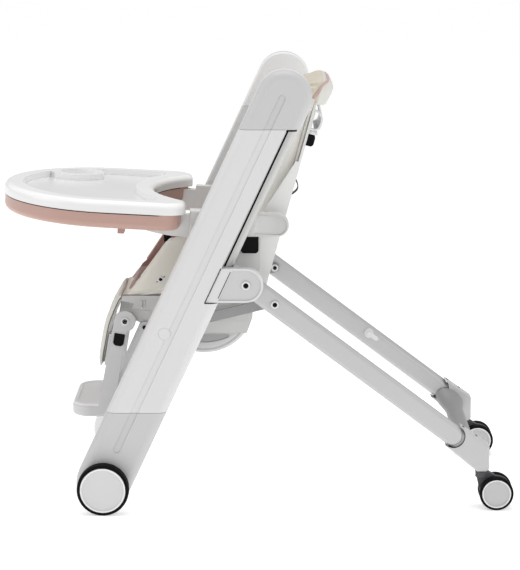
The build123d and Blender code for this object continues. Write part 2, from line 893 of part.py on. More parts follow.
# Seat arm: a bar that passes inside the post, with a round rear end and a tongue for the tray
arm_end = (arm_top - arm_rear_low) / 2
deck_under = tray_seam - tray_gap - tray_side
tongue_top = deck_under - tray_gap
hanger_outer = arm_inner + hanger_thick
trigger_inner = hanger_outer + trigger_gap
trigger_top = -trigger_slant + trigger_seat
with BuildPart() as seat_arm:
    with BuildSketch(arm_plane.offset(arm_inner)):
        with BuildLine():
            Line((arm_step, arm_top), (arm_rear - arm_end, arm_top))
            ThreePointArc(
                (arm_rear - arm_end, arm_top),
                (arm_rear, arm_top - arm_end),
                (arm_rear - arm_end, arm_rear_low),
            )
            Line((arm_rear - arm_end, arm_rear_low), (arm_step, arm_belly))
            Line((arm_step, arm_belly), (arm_step, arm_top))
        make_face()
    extrude(amount=arm_outer - arm_inner)
    fillet(seat_arm.faces().sort_by(Axis.Y)[0].edges(), arm_edge)
    with BuildSketch(arm_plane.offset(arm_inner + tongue_inset)):
        with BuildLine():
            tip = arm_belly + arm_end / 2
            Polyline((arm_step, arm_belly), (arm_step, tongue_top), (arm_front, tongue_top), (arm_front, tip))
            ThreePointArc(
                (arm_front, tip),
                ((arm_front + arm_step) / 2, arm_belly + arm_edge / 2),
                (arm_step, arm_belly),
            )
        make_face()
    extrude(amount=arm_outer - arm_inner - 2 * tongue_inset)
    with BuildSketch(arm_plane.offset(arm_outer - arm_recess)):
        with BuildLine():
            panel_end = arm_end - arm_rim
            Line((arm_rear - arm_end - arm_panel, arm_top - arm_rim), (arm_rear - arm_end, arm_top - arm_rim))
            ThreePointArc(
                (arm_rear - arm_end, arm_top - arm_rim),
                (arm_rear - arm_rim, arm_top - arm_end),
                (arm_rear - arm_end, arm_rear_low + arm_rim),
            )
            Polyline(
                (arm_rear - arm_end, arm_rear_low + arm_rim),
                (arm_rear - arm_end - arm_panel, arm_rear_low + arm_rim),
                (arm_rear - arm_end - arm_panel, arm_top - arm_rim),
            )
        make_face()
    extrude(amount=arm_recess + cut_over, mode=Mode.SUBTRACT)
    with BuildSketch(Plane.XZ.offset(arm_inner)):
        with BuildLine():
            Polyline(
                seat_point(hanger_front, 0),
                seat_point(hanger_rear, 0),
                seat_point(hanger_rear, hanger_low / 2),
                seat_point(lug_rear, hanger_low),
                seat_point(lug_front, hanger_low),
                close=True,
            )
        make_face()
    extrude(amount=hanger_thick)
    with BuildSketch(Plane.XZ.offset(trigger_inner - trigger_gap)):
        with BuildLine():
            Polyline(
                seat_point(trigger_front - trigger_gap, arm_belly - cut_over),
                seat_point(trigger_rear + trigger_gap, arm_belly - cut_over),
                seat_point(trigger_rear + trigger_gap, trigger_top + trigger_travel + trigger_gap),
                seat_point(trigger_front - trigger_gap, trigger_top + trigger_travel + trigger_gap),
                close=True,
            )
        make_face()
    extrude(amount=trigger_thick + 2 * trigger_gap, mode=Mode.SUBTRACT)
    recline_spot = seat_point(recline_dx, recline_dz)
    bar_along_y(
        recline_spot, recline_pin + pin_fit, arm_inner - cut_over, hanger_outer + cut_over, Mode.SUBTRACT
    )
write_pair(seat_arm, "seat_arm")

# Height trigger under each arm
with BuildPart() as height_trigger:
    with BuildSketch(Plane.XZ.offset(trigger_inner)) as trigger_view:
        with BuildLine():
            Polyline(
                seat_point(trigger_front, trigger_top),
                seat_point(trigger_rear, trigger_top),
                seat_point(trigger_rear, trigger_low),
                seat_point(trigger_front - trigger_slant / 2, trigger_low),
                seat_point(trigger_front - trigger_gap / 2, arm_belly - trigger_slant),
                close=True,
            )
        make_face()
        fillet(trigger_view.vertices().group_by(Axis.Y)[0], trigger_round)
    extrude(amount=trigger_thick)
write_pair(height_trigger, "height_trigger")

# Slider: a block on the arm with a T-shaped tongue inside the rail
with BuildPart() as rail_slider:
    with BuildSketch(post_plane.offset(arm_outer)):
        with Locations((rail_mid, arm_along)):
            RectangleRounded(slider_width, slider_length, slider_width / 6)
    extrude(amount=post_inner - slider_gap - arm_outer)
    with BuildSketch(post_plane.offset(arm_outer)):
        with Locations((rail_mid, arm_along)):
            Rectangle(rail_slot - 2 * slider_gap, slider_length)
    extrude(amount=post_inner + rail_wall + slider_gap - arm_outer + cut_over)
    with BuildSketch(post_plane.offset(post_inner + rail_wall + slider_gap)):
        with Locations((rail_mid, arm_along)):
            Rectangle(slider_head, slider_length)
    extrude(amount=slider_head_thick)
write_pair(rail_slider, "rail_slider")

# Seat pan: a tub with a front lip, side lugs for the arms and ears for the footrest
hub_spot = seat_point(hub_dx, hub_dz)
with BuildPart() as seat_pan:
    with BuildSketch(Plane.XZ.offset(-pan_half)):
        with BuildLine():
            Polyline(
                seat_point(pan_front, pan_lip),
                seat_point(pan_front, pan_floor),
                seat_point(pan_throat, pan_floor - pan_edge),
                seat_point(belly_front, pan_under),
                seat_point(belly_rear, pan_under),
                seat_point(pan_rear, pan_heel),
                seat_point(pan_rear, pan_lip),
                close=True,
            )
        make_face()
    extrude(amount=2 * pan_half)
    with BuildSketch(Plane.XZ.offset(-pan_half + pan_wall)):
        with BuildLine():
            Polyline(
                seat_point(pan_front + pan_wall, pan_lip + cut_over),
                seat_point(pan_front + pan_wall, pan_floor + pan_wall),
                seat_point(pan_rear - pan_wall, pan_floor + pan_wall),
                seat_point(pan_rear - pan_wall, pan_lip + cut_over),
                close=True,
            )
        make_face()
    extrude(amount=2 * (pan_half - pan_wall), mode=Mode.SUBTRACT)
    with BuildSketch(Plane.XZ.offset(-pan_half + pan_wall)):
        with BuildLine():
            Polyline(
                seat_point(pan_throat + pan_wall, pan_floor - pan_edge - pan_wall),
                seat_point(belly_front + pan_wall, pan_under - cut_over),
                seat_point(belly_rear - pan_wall, pan_under - cut_over),
                seat_point(pan_rear - pan_wall, pan_heel),
                seat_point(pan_rear - pan_wall, pan_floor - pan_edge - pan_wall),
                close=True,
            )
        make_face()
    extrude(amount=2 * (pan_half - pan_wall), mode=Mode.SUBTRACT)
    for ear_start in (pan_half - ear_thick, -pan_half):
        with BuildSketch(Plane.XZ.offset(ear_start)) as ear_view:
            with Locations(hub_spot):
                Circle(hub_radius - hub_gap)
            with BuildLine():
                Polyline(
                    (hub_spot[0] + hub_radius - hub_gap, hub_spot[1]),
                    hub_spot,
                    seat_point(pan_throat, pan_floor - pan_edge),
                    seat_point(belly_front, pan_floor - pan_edge),
                    seat_point(belly_front, pan_under),
                    close=True,
                )
            make_face()
        extrude(amount=ear_thick)
    for lug_start in (pan_half - ear_thick, -arm_inner):
        with BuildSketch(Plane.XZ.offset(lug_start)):
            with BuildLine():
                Polyline(
                    seat_point(lug_front, hanger_low),
                    seat_point(lug_rear, hanger_low),
                    seat_point(lug_rear, hanger_low - lug_height),
                    seat_point(lug_front, hanger_low - lug_height),
                    close=True,
                )
            make_face()
        extrude(amount=arm_inner - pan_half + ear_thick)
    for rib_start in (pan_half, -pan_half - rib_proud):
        with BuildSketch(Plane.XZ.offset(rib_start)):
            with BuildLine():
                Polyline(
                    seat_point(rib_front, rib_z),
                    seat_point(rib_rear, rib_z - rib_fall),
                    seat_point(rib_rear, rib_z - rib_fall - rib_height),
                    seat_point(rib_front, rib_z - rib_height),
                    close=True,
                )
            make_face()
        extrude(amount=rib_proud)
    for clip_start in (pan_half, -pan_half - clip_proud):
        with BuildSketch(Plane.XZ.offset(clip_start)):
            with Locations(seat_point(clip_dx, clip_dz)):
                SlotOverall(clip_length, clip_width, rotation=90)
                SlotOverall(
                    clip_length - 2 * clip_wall, clip_width - 2 * clip_wall, rotation=90, mode=Mode.SUBTRACT
                )
            with Locations(seat_point(clip_dx, clip_dz + clip_length / 2)):
                Rectangle(clip_width, clip_width, mode=Mode.SUBTRACT)
        extrude(amount=clip_proud)
    bar_along_y(hub_spot, hub_pin + pin_fit, -arm_inner, arm_inner, Mode.SUBTRACT)
write(seat_pan, "seat_pan")

# Belly shell under the pan
belly_middle = (belly_front + belly_rear) / 2
with BuildPart() as belly_hollow:
    with BuildSketch(Plane.XZ.offset(-belly_half + belly_wall)):
        with BuildLine():
            hollow_first = seat_point(belly_front + 2 * belly_wall, pan_under)
            hollow_last = seat_point(belly_rear - 2 * belly_wall, pan_under)
            ThreePointArc(
                hollow_first, seat_point(belly_middle, pan_under - belly_drop + belly_wall), hollow_last
            )
            Line(hollow_last, hollow_first)
        make_face()
    extrude(amount=2 * (belly_half - belly_wall))
    fillet(
        belly_hollow.faces().sort_by(Axis.Z)[0].edges().filter_by(Axis.Y, reverse=True),
        belly_edge - belly_wall,
    )

with BuildPart() as seat_belly:
    with BuildSketch(Plane.XZ.offset(-belly_half)):
        with BuildLine():
            belly_first = seat_point(belly_front, pan_under)
            belly_last = seat_point(belly_rear, pan_under)
            ThreePointArc(belly_first, seat_point(belly_middle, pan_under - belly_drop), belly_last)
            Line(belly_last, belly_first)
        make_face()
    extrude(amount=2 * belly_half)
    fillet(seat_belly.faces().sort_by(Axis.Z)[0].edges().filter_by(Axis.Y, reverse=True), belly_edge)
    add(belly_hollow.part, mode=Mode.SUBTRACT)
    for panel_start in (belly_half - belly_panel, -belly_half - cut_over):
        with BuildSketch(Plane.XZ.offset(panel_start)) as panel_view:
            with BuildLine():
                panel_first = seat_point(belly_front + belly_inset, pan_under - belly_wall)
                panel_last = seat_point(belly_rear - belly_inset, pan_under - belly_wall)
                ThreePointArc(
                    panel_first, seat_point(belly_middle, pan_under - belly_drop + belly_inset), panel_last
                )
                Line(panel_last, panel_first)
            make_face()
            fillet(panel_view.vertices(), belly_wall)
        extrude(amount=belly_panel + cut_over, mode=Mode.SUBTRACT)
write(seat_belly, "seat_belly")

# Recline pins through the hangers into the sides of the back shell
with BuildPart() as recline_pins:
    bar_along_y(recline_spot, recline_pin, shell_half - shell_side, hanger_outer)
    bar_along_y(recline_spot, recline_pin + head_thick, hanger_outer, hanger_outer + head_thick)
    mirror(about=Plane.XZ)
write(recline_pins, "recline_pins")

# Footrest: two arms from the hubs down to a hollow plate, with pockets for the buttons
rest_plane = tilted(hub_spot, rest_arm_lean)
rest_inner = pan_half + hub_gap
rest_outer = rest_inner + rest_thick
rest_front = hub_radius / 3 - 1 - rest_arm_width - part_gap * 5
rest_back = rest_front + rest_arm_width + part_gap * 5
rest_drop = (plate_top - plate_thick / 2) / cos(radians(rest_arm_lean))
button_spot = (hub_radius / 2 + rest_front + button_width / 2 - 1, -button_at)
plate_middle = (plate_front + plate_rear) / 2
strut_spot = (hub_spot[0] + strut_dx, hub_spot[1] + strut_dz)
strut_end = (hub_spot[0] + plate_rear - strut_width, hub_spot[1] + plate_top - plate_thick / 2)
with BuildPart() as footrest_frame:
    with BuildSketch(Plane.XY.offset(hub_spot[1] + plate_top - plate_thick)) as plate_view:
        with Locations((hub_spot[0] + plate_middle, 0)):
            Rectangle(plate_rear - plate_front, 2 * rest_outer)
        fillet(plate_view.vertices().group_by(Axis.X)[0], plate_corner)
    extrude(amount=plate_thick)
    fillet(footrest_frame.faces().sort_by(Axis.Z)[-1].edges(), plate_edge)
    fillet(footrest_frame.faces().sort_by(Axis.Z)[0].edges(), plate_low_edge)
    with BuildSketch(Plane.XY.offset(hub_spot[1] + plate_top - plate_tread)) as tread_view:
        with Locations((hub_spot[0] + plate_middle, 0)):
            Rectangle(plate_rear - plate_front - 2 * tread_inset, 2 * (rest_outer - rest_thick - tread_inset))
        fillet(tread_view.vertices(), plate_corner - tread_inset)
    extrude(amount=plate_tread + cut_over, mode=Mode.SUBTRACT)
    with BuildSketch(Plane.XY.offset(hub_spot[1] + plate_top - plate_thick - cut_over)) as plate_hollow:
        with Locations((hub_spot[0] + plate_middle, 0)):
            Rectangle(plate_rear - plate_front - 2 * plate_wall, 2 * (rest_outer - plate_wall))
        fillet(plate_hollow.vertices().group_by(Axis.X)[0], plate_corner - plate_wall)
    extrude(amount=plate_thick - plate_wall + cut_over, mode=Mode.SUBTRACT)
    for arm_start in (rest_inner, -rest_outer):
        with BuildSketch(rest_plane.offset(arm_start)):
            Circle(hub_radius)
            with BuildLine():
                Polyline(
                    (-hub_radius, 0),
                    (rest_front, rest_drop),
                    (rest_back, rest_drop),
                    (rest_back, -hub_radius / 2),
                    (0, 0),
                    close=True,
                )
            make_face()
        extrude(amount=rest_thick)
    for strut_start in (rest_inner, -rest_inner - strut_thick):
        with BuildSketch(Plane.XZ.offset(strut_start)):
            with Locations(strut_spot):
                Circle(strut_boss)
            with BuildLine():
                Polyline(
                    (strut_spot[0] - strut_width / 2, strut_spot[1]),
                    (strut_spot[0] + strut_width / 2, strut_spot[1]),
                    (strut_end[0] + strut_width / 2, strut_end[1]),
                    (strut_end[0] - strut_width / 2, strut_end[1]),
                    close=True,
                )
            make_face()
        extrude(amount=strut_thick)
    for pocket_start in (rest_outer - button_depth - button_travel - button_gap, -rest_outer - cut_over):
        with BuildSketch(rest_plane.offset(pocket_start)) as pocket_view:
            with Locations(button_spot):
                Rectangle(button_width + 2 * button_gap, button_height + 2 * button_gap)
            fillet(pocket_view.vertices().group_by(Axis.Y)[0], button_round + button_gap)
        extrude(amount=button_depth + button_travel + button_gap + cut_over, mode=Mode.SUBTRACT)
    bar_along_y(hub_spot, hub_pin + pin_fit, -rest_outer - cut_over, rest_outer + cut_over, Mode.SUBTRACT)
write(footrest_frame, "footrest_frame")

# Footrest pivot screws
with BuildPart() as footrest_pins:
    bar_along_y(hub_spot, hub_pin, pan_half - ear_thick, rest_outer + part_gap)
    bar_along_y(hub_spot, hub_pin + head_thick, rest_outer + part_gap, rest_outer + part_gap + head_thick / 2)
    mirror(about=Plane.XZ)
write(footrest_pins, "footrest_pins")

# Footrest buttons
with BuildPart() as footrest_button:
    with BuildSketch(rest_plane.offset(rest_outer - button_depth)) as button_view:
        with Locations(button_spot):
            Rectangle(button_width, button_height)
        fillet(button_view.vertices().group_by(Axis.Y)[0], button_round)
    extrude(amount=button_depth + button_proud)
write_pair(footrest_button, "footrest_button")

# Calf panel between the footrest arms and the soft pad in front of it
calf_back = rest_front - calf_gap
with BuildPart() as calf_panel:
    with BuildSketch(rest_plane.offset(-rest_inner)):
        with Locations((calf_back + cushion_gap + panel_thick / 2, (calf_low - 1.5 * hub_radius) / 2)):
            Rectangle(panel_thick, -1.5 * hub_radius - calf_low)
    extrude(amount=2 * rest_inner)
write(calf_panel, "calf_panel")

calf_edge = calf_thick / 3
with BuildPart() as calf_pad:
    with BuildSketch(rest_plane.offset(-calf_half)) as calf_view:
        with BuildLine():
            Polyline(
                (calf_back - calf_thick + calf_edge, calf_top),
                (calf_back, calf_top),
                (calf_back, calf_low),
                (calf_back - calf_thick + calf_edge, calf_low),
            )
            ThreePointArc(
                (calf_back - calf_thick + calf_edge, calf_low),
                (calf_back - calf_thick, (calf_top + calf_low) / 2),
                (calf_back - calf_thick + calf_edge, calf_top),
            )
        make_face()
    extrude(amount=2 * calf_half)
    fillet(calf_pad.edges().filter_by(Axis.Y).sort_by(Axis.X)[:2], calf_edge)
write(calf_pad, "calf_pad")

# Seat cushion: crowned pad with two leaning side wings
pad_low = pan_floor + pan_wall + cushion_gap
pad_half = pan_half - pan_wall - cushion_gap
pad_edge_z = pad_low + seat_pad_thick
pad_front = pan_front - pan_wall / 2
lip_clear = pan_lip + cushion_gap
seat_y_plane = Plane.YZ.offset(seat_spot[0])
with BuildPart() as seat_cushion:
    with BuildSketch(seat_y_plane.offset(pad_front)):
        with BuildLine():
            Polyline(
                (-pad_half + pan_wall, seat_spot[1] + pad_edge_z),
                (-wing_reach + wing_thick, seat_spot[1] + wing_top),
                (-wing_reach, seat_spot[1] + wing_top),
                (-pan_half - pan_wall, seat_spot[1] + lip_clear),
                (-pad_half, seat_spot[1] + lip_clear),
                (-pad_half, seat_spot[1] + pad_low),
                (pad_half, seat_spot[1] + pad_low),
                (pad_half, seat_spot[1] + lip_clear),
                (pan_half + pan_wall, seat_spot[1] + lip_clear),
                (wing_reach, seat_spot[1] + wing_top),
                (wing_reach - wing_thick, seat_spot[1] + wing_top),
                (pad_half - pan_wall, seat_spot[1] + pad_edge_z),
            )
            ThreePointArc(
                (pad_half - pan_wall, seat_spot[1] + pad_edge_z),
                (0, seat_spot[1] + pad_edge_z + seat_pad_crown),
                (-pad_half + pan_wall, seat_spot[1] + pad_edge_z),
            )
        make_face()
    extrude(amount=seat_pad_rear - pad_front)
    with BuildSketch(Plane.XZ.offset(-wing_reach - cut_over)):
        with BuildLine():
            Polyline(
                seat_point(pad_front - cut_over, lip_clear + pan_wall),
                seat_point(pad_front + wing_setback, lip_clear + pan_wall),
                seat_point(pad_front + wing_setback + wing_slant, wing_top + cut_over),
                seat_point(pad_front - cut_over, wing_top + cut_over),
                close=True,
            )
        make_face()
    extrude(amount=2 * (wing_reach + cut_over), mode=Mode.SUBTRACT)
    with BuildSketch(Plane.XZ.offset(-wing_reach - cut_over)):
        with BuildLine():
            Polyline(
                seat_point(pad_front - cut_over, lip_clear),
                seat_point(pan_front + pan_wall + cushion_gap, lip_clear),
                seat_point(pan_front + pan_wall + cushion_gap, pad_low - cut_over),
                seat_point(pad_front - cut_over, pad_low - cut_over),
                close=True,
            )
        make_face()
    extrude(amount=2 * (wing_reach + cut_over), mode=Mode.SUBTRACT)
    for row in (1, 2, 3):
        bar_along_y(
            seat_point(pad_front + row * channel_pitch, pad_edge_z + seat_pad_crown + channel_radius / 2),
            channel_radius,
            -pad_half + channel_pitch,
            pad_half - channel_pitch,
            Mode.SUBTRACT,
        )
write(seat_cushion, "seat_cushion")

# Back shell: a thin panel with side walls that end in lugs at the recline pins
back_plane = tilted(recline_spot, back_lean)
back_turn = radians(back_lean)


def back_face(behind):
    # plane across the back, first axis to the child's right, second one up the back
    return Plane(
        origin=back_plane.from_local_coords((behind, 0, 0)),
        x_dir=(0, 1, 0),
        z_dir=(cos(back_turn), 0, -sin(back_turn)),
    )


def back_level(along):
    # plane square to the back's height, first axis to the child's right, second one forward
    return Plane(
        origin=back_plane.from_local_coords((0, along, 0)),
        x_dir=(0, 1, 0),
        z_dir=(sin(back_turn), 0, cos(back_turn)),
    )


shell_front = back_rear - shell_thick
with BuildPart() as back_shell:
    with BuildSketch(back_face(shell_front)) as shell_view:
        with BuildLine():
            Polyline(
                (-shell_half, shell_low),
                (-shell_half, side_end),
                (-shell_top_half, shell_top),
                (shell_top_half, shell_top),
                (shell_half, side_end),
                (shell_half, shell_low),
                close=True,
            )
        make_face()
        fillet(shell_view.vertices().group_by(Axis.Y)[-1], shell_corner)
    extrude(amount=shell_thick)
    for wall_start in (shell_half - shell_side, -shell_half):
        with BuildSketch(back_plane.offset(wall_start)):
            Circle(lug_radius)
            with BuildLine():
                Polyline(
                    (0, -lug_radius),
                    (back_rear, shell_low),
                    (back_rear, side_end),
                    (shell_front - shell_thick, side_end),
                    (side_front, side_full),
                    (-lug_radius, 0),
                    close=True,
                )
            make_face()
        extrude(amount=shell_side)
    with BuildSketch(back_plane.offset(-ledge_half)) as ledge_view:
        with Locations((back_rear + ledge_out / 2, adjuster_high + part_gap + ledge_thick / 2)):
            Rectangle(ledge_out, ledge_thick)
        fillet(ledge_view.vertices().group_by(Axis.X)[-1], ledge_soft)
    extrude(amount=2 * ledge_half)
    bar_along_y(
        recline_spot, recline_pin + pin_fit, -shell_half - cut_over, shell_half + cut_over, Mode.SUBTRACT
    )
write(back_shell, "back_shell")

# Back cushion: crowned pad that folds over the top of the shell
pad_rear = shell_front - cushion_gap
pocket_front = back_rear + cushion_gap
top_clear = shell_top + cushion_gap
back_pad_half = shell_half - shell_side - back_pad_clear
crown_start = -back_pad_front - back_pad_crown
pocket_low = handle_high + handle_travel + hem_gap
pocket_high = back_pad_top - pocket_drop
with BuildPart() as back_cushion:
    with BuildSketch(back_plane.offset(-back_pad_half - cut_over)):
        with BuildLine():
            Polyline((pad_rear, top_clear), (pad_rear, back_pad_low), (back_pad_front, back_pad_low))
            shoulder = back_pad_top - shoulder_drop
            crest = (back_crest, back_pad_top)
            Line((back_pad_front, back_pad_low), (back_pad_front, shoulder))
            bulge = back_pad_front + bulge_share * (back_crest - back_pad_front)
            ThreePointArc((back_pad_front, shoulder), (bulge, back_pad_top - bulge_drop), crest)
            roll = back_crest + roll_share * (pocket_rear - back_crest)
            ThreePointArc(crest, (roll, back_pad_top - roll_drop), (pocket_rear, pocket_high))
            Polyline(
                (pocket_rear, pocket_high),
                (pocket_front + pocket_hem, pocket_low),
                (pocket_front, pocket_low),
                (pocket_front, top_clear),
                (pad_rear, top_clear),
            )
        make_face()
    extrude(amount=2 * (back_pad_half + cut_over))
    with BuildSketch(back_level(back_pad_low - cut_over)):
        with BuildLine():
            side_in = back_pad_half - back_pad_side
            ThreePointArc((-side_in, crown_start), (0, -back_pad_front), (side_in, crown_start))
            ThreePointArc((side_in, crown_start), (back_pad_half, -pad_rear / 3), (side_in, -pocket_front))
            ThreePointArc((side_in, -pocket_front), (0, -pocket_rear - cut_over), (-side_in, -pocket_front))
            ThreePointArc((-side_in, -pocket_front), (-back_pad_half, -pad_rear / 3), (-side_in, crown_start))
        make_face()
    extrude(amount=back_pad_top + 2 * cut_over, mode=Mode.INTERSECT)
    with BuildSketch(back_face(2 * back_pad_front)) as pad_view:
        with Locations((0, (back_pad_low + back_pad_top) / 2)):
            Rectangle(2 * (back_pad_half + cut_over), back_pad_top - back_pad_low + 2 * cut_over)
        fillet(pad_view.vertices().group_by(Axis.Y)[-1], back_pad_corner)
    extrude(amount=2 * pocket_rear, mode=Mode.INTERSECT)
    for row in (1, 2, 3):
        bar_along_y(
            flat_point(back_plane, back_pad_front - channel_radius / 2, back_pad_low + row * tuft_pitch),
            channel_radius,
            -shoulder_spread / 4,
            shoulder_spread / 4,
            Mode.SUBTRACT,
        )
write(back_cushion, "back_cushion")

# Recline handle: two D-shaped hoops on the rear of the shell, joined by a curved grip
handle_middle = (handle_low + handle_high) / 2
handle_height = handle_high - handle_low
with BuildPart() as recline_handle:
    with BuildSketch(back_plane.offset(-handle_half)) as handle_view:
        with Locations((back_rear + part_gap + handle_out / 2, handle_middle)):
            Rectangle(handle_out, handle_height)
        fillet(handle_view.vertices().group_by(Axis.Y)[-1].sort_by(Axis.X)[-1:], handle_round)
        fillet(handle_view.vertices().group_by(Axis.Y)[0].sort_by(Axis.X)[-1:], handle_heel)
        offset(amount=-handle_bar, mode=Mode.SUBTRACT)
    extrude(amount=2 * handle_half)
    with BuildSketch(back_plane.offset(-handle_half + handle_hoop)):
        with Locations((back_rear + handle_out / 4, handle_middle)):
            Rectangle(handle_out / 2 + part_gap, handle_height + 2 * cut_over)
    extrude(amount=2 * (handle_half - handle_hoop), mode=Mode.SUBTRACT)
write(recline_handle, "recline_handle")

# Strap adjuster on the rear of the shell and the strap that hangs from it
with BuildPart() as strap_adjuster:
    with BuildSketch(back_plane.offset(-adjuster_half)):
        with Locations((back_rear + adjuster_out / 2, (adjuster_low + adjuster_high) / 2)):
            Rectangle(adjuster_out, adjuster_high - adjuster_low)
    extrude(amount=2 * adjuster_half)
    fillet(strap_adjuster.edges().filter_by(Axis.Y).sort_by(Axis.X)[-2:], adjuster_out / 3)
write(strap_adjuster, "strap_adjuster")

with BuildPart() as rear_strap:
    with BuildSketch(back_plane.offset(-strap_width / 2)):
        with Locations((back_rear + part_gap + strap_thick / 2, (adjuster_low + shell_low) / 2)):
            Rectangle(strap_thick, adjuster_low - shell_low - 2 * part_gap)
    extrude(amount=strap_width)
write(rear_strap, "rear_strap")

# Shoulder straps on the crowned front of the back cushion
crown_radius = (side_in**2 + back_pad_crown**2) / (2 * back_pad_crown)
with BuildPart() as shoulder_straps:
    with BuildSketch(back_level(shoulder_low)):
        with Locations((0, -back_pad_front - crown_radius)):
            Circle(crown_radius + cushion_gap + strap_thick)
            Circle(crown_radius + cushion_gap, mode=Mode.SUBTRACT)
        with Locations((-shoulder_spread / 2, -back_pad_front), (shoulder_spread / 2, -back_pad_front)):
            Rectangle(strap_width, 2 * back_pad_crown, mode=Mode.INTERSECT)
    extrude(amount=shoulder_high - shoulder_low)
write(shoulder_straps, "shoulder_straps")

# Crotch strap standing on the seat pad, with the buckle at its top
pad_crest = pad_edge_z + seat_pad_crown
with BuildPart() as crotch_strap:
    with BuildSketch(seat_y_plane.offset(crotch_at)):
        with Locations((0, seat_spot[1] + pad_crest + cushion_gap + crotch_length / 2)):
            Rectangle(strap_width, crotch_length)
    extrude(amount=strap_thick)
write(crotch_strap, "crotch_strap")

buckle_low = pad_crest + cushion_gap + crotch_length
with BuildPart() as harness_buckle:
    with BuildSketch(seat_y_plane.offset(crotch_at + strap_thick / 2 - buckle_thick / 2)):
        with Locations((0, seat_spot[1] + buckle_low + buckle_length / 2)):
            RectangleRounded(buckle_width, buckle_length, buckle_width / 4)
    extrude(amount=buckle_thick)
    fillet(harness_buckle.faces().filter_by(Axis.X).edges(), buckle_thick / 4)
write(harness_buckle, "harness_buckle")

# Tray outline: elliptic nose, straight sides, two rear lobes and a round bite for the child
bite_radius = (tray_bite_half**2 + tray_bite**2) / (2 * tray_bite)
bite_centre = tray_length - tray_bite + bite_radius
tilt = radians(arm_tilt)
tray_front = (axle_x - tray_reach - seat_spot[0] - tray_seam * sin(tilt)) / cos(tilt)
tray_plane = Plane(
    origin=arm_plane.from_local_coords((tray_front, tray_seam, 0)),
    x_dir=(cos(tilt), 0, -sin(tilt)),
    z_dir=(sin(tilt), 0, cos(tilt)),
)


def tray_outline(plane, inset, rear_inset, corner, lobe):
    # the outline drawn in on all sides, and by its own amount at the rear
    rear = tray_length - rear_inset
    half = tray_half - inset
    radius = bite_radius + inset
    tip = (radius**2 - (bite_centre - rear) ** 2) ** 0.5
    with BuildSketch(plane) as shape:
        with BuildLine():
            EllipticalCenterArc((tray_nose, 0), tray_nose - inset, half, 90, arc_size=180)
            Polyline((tray_nose, -half), (rear, -half), (rear, -tip))
            ThreePointArc((rear, -tip), (bite_centre - radius, 0), (rear, tip))
            Polyline((rear, tip), (rear, half), (tray_nose, half))
        make_face()
        rear_spots = shape.vertices().group_by(Axis.X)[-1].sort_by(lambda spot: abs(spot.Y))
        fillet(rear_spots[2:], corner)
        rear_spots = shape.vertices().group_by(Axis.X)[-1].sort_by(lambda spot: abs(spot.Y))
        fillet(rear_spots[:2], lobe)
    return shape.sketch


# Tray top: rounded rim, sunk floor, an island with the cup well, and a hollow underside
cup_spot = (cup_x, cup_y)
floor_height = tray_rim_height - tray_recess
floor_under = floor_height - tray_skin
rim_hollow = tray_rim_height - tray_rim_round + tray_skin
rear_rim = tray_rim_width + tray_corner / 2
with BuildPart() as tray_top:
    extrude(tray_outline(tray_plane, 0, 0, tray_corner, tray_lobe), amount=tray_rim_height)
    top_face = tray_top.faces().filter_by(tray_plane).sort_by(Axis.Z)[-1]
    fillet(top_face.edges(), tray_rim_round)
    with BuildSketch(tray_plane.offset(floor_height)):
        add(tray_outline(Plane.XY, tray_rim_width, rear_rim, tray_lobe, tray_lobe / 2))
        with Locations(cup_spot):
            Circle(cup_island, mode=Mode.SUBTRACT)
    extrude(amount=tray_recess + cut_over, mode=Mode.SUBTRACT)
    with BuildSketch(tray_plane.offset(tray_rim_height - cup_depth)):
        with Locations(cup_spot):
            Circle(cup_radius)
    extrude(amount=cup_depth + cut_over, mode=Mode.SUBTRACT)
    with BuildSketch(tray_plane):
        add(tray_outline(Plane.XY, tray_side, tray_side, tray_corner - tray_side, tray_lobe - tray_side))
        with Locations(cup_spot):
            Circle(cup_radius + tray_skin, mode=Mode.SUBTRACT)
    extrude(amount=floor_under, mode=Mode.SUBTRACT)
    with BuildSketch(tray_plane.offset(floor_under)):
        add(tray_outline(Plane.XY, tray_side, tray_side, tray_corner - tray_side, tray_lobe - tray_side))
        add(
            tray_outline(
                Plane.XY,
                tray_rim_width - tray_skin,
                rear_rim - tray_skin,
                tray_lobe + tray_skin,
                tray_lobe / 2,
            ),
            mode=Mode.SUBTRACT,
        )
        with Locations(cup_spot):
            Circle(cup_island + tray_skin, mode=Mode.SUBTRACT)
    extrude(amount=rim_hollow - floor_under, mode=Mode.SUBTRACT)
write(tray_top, "tray_top")

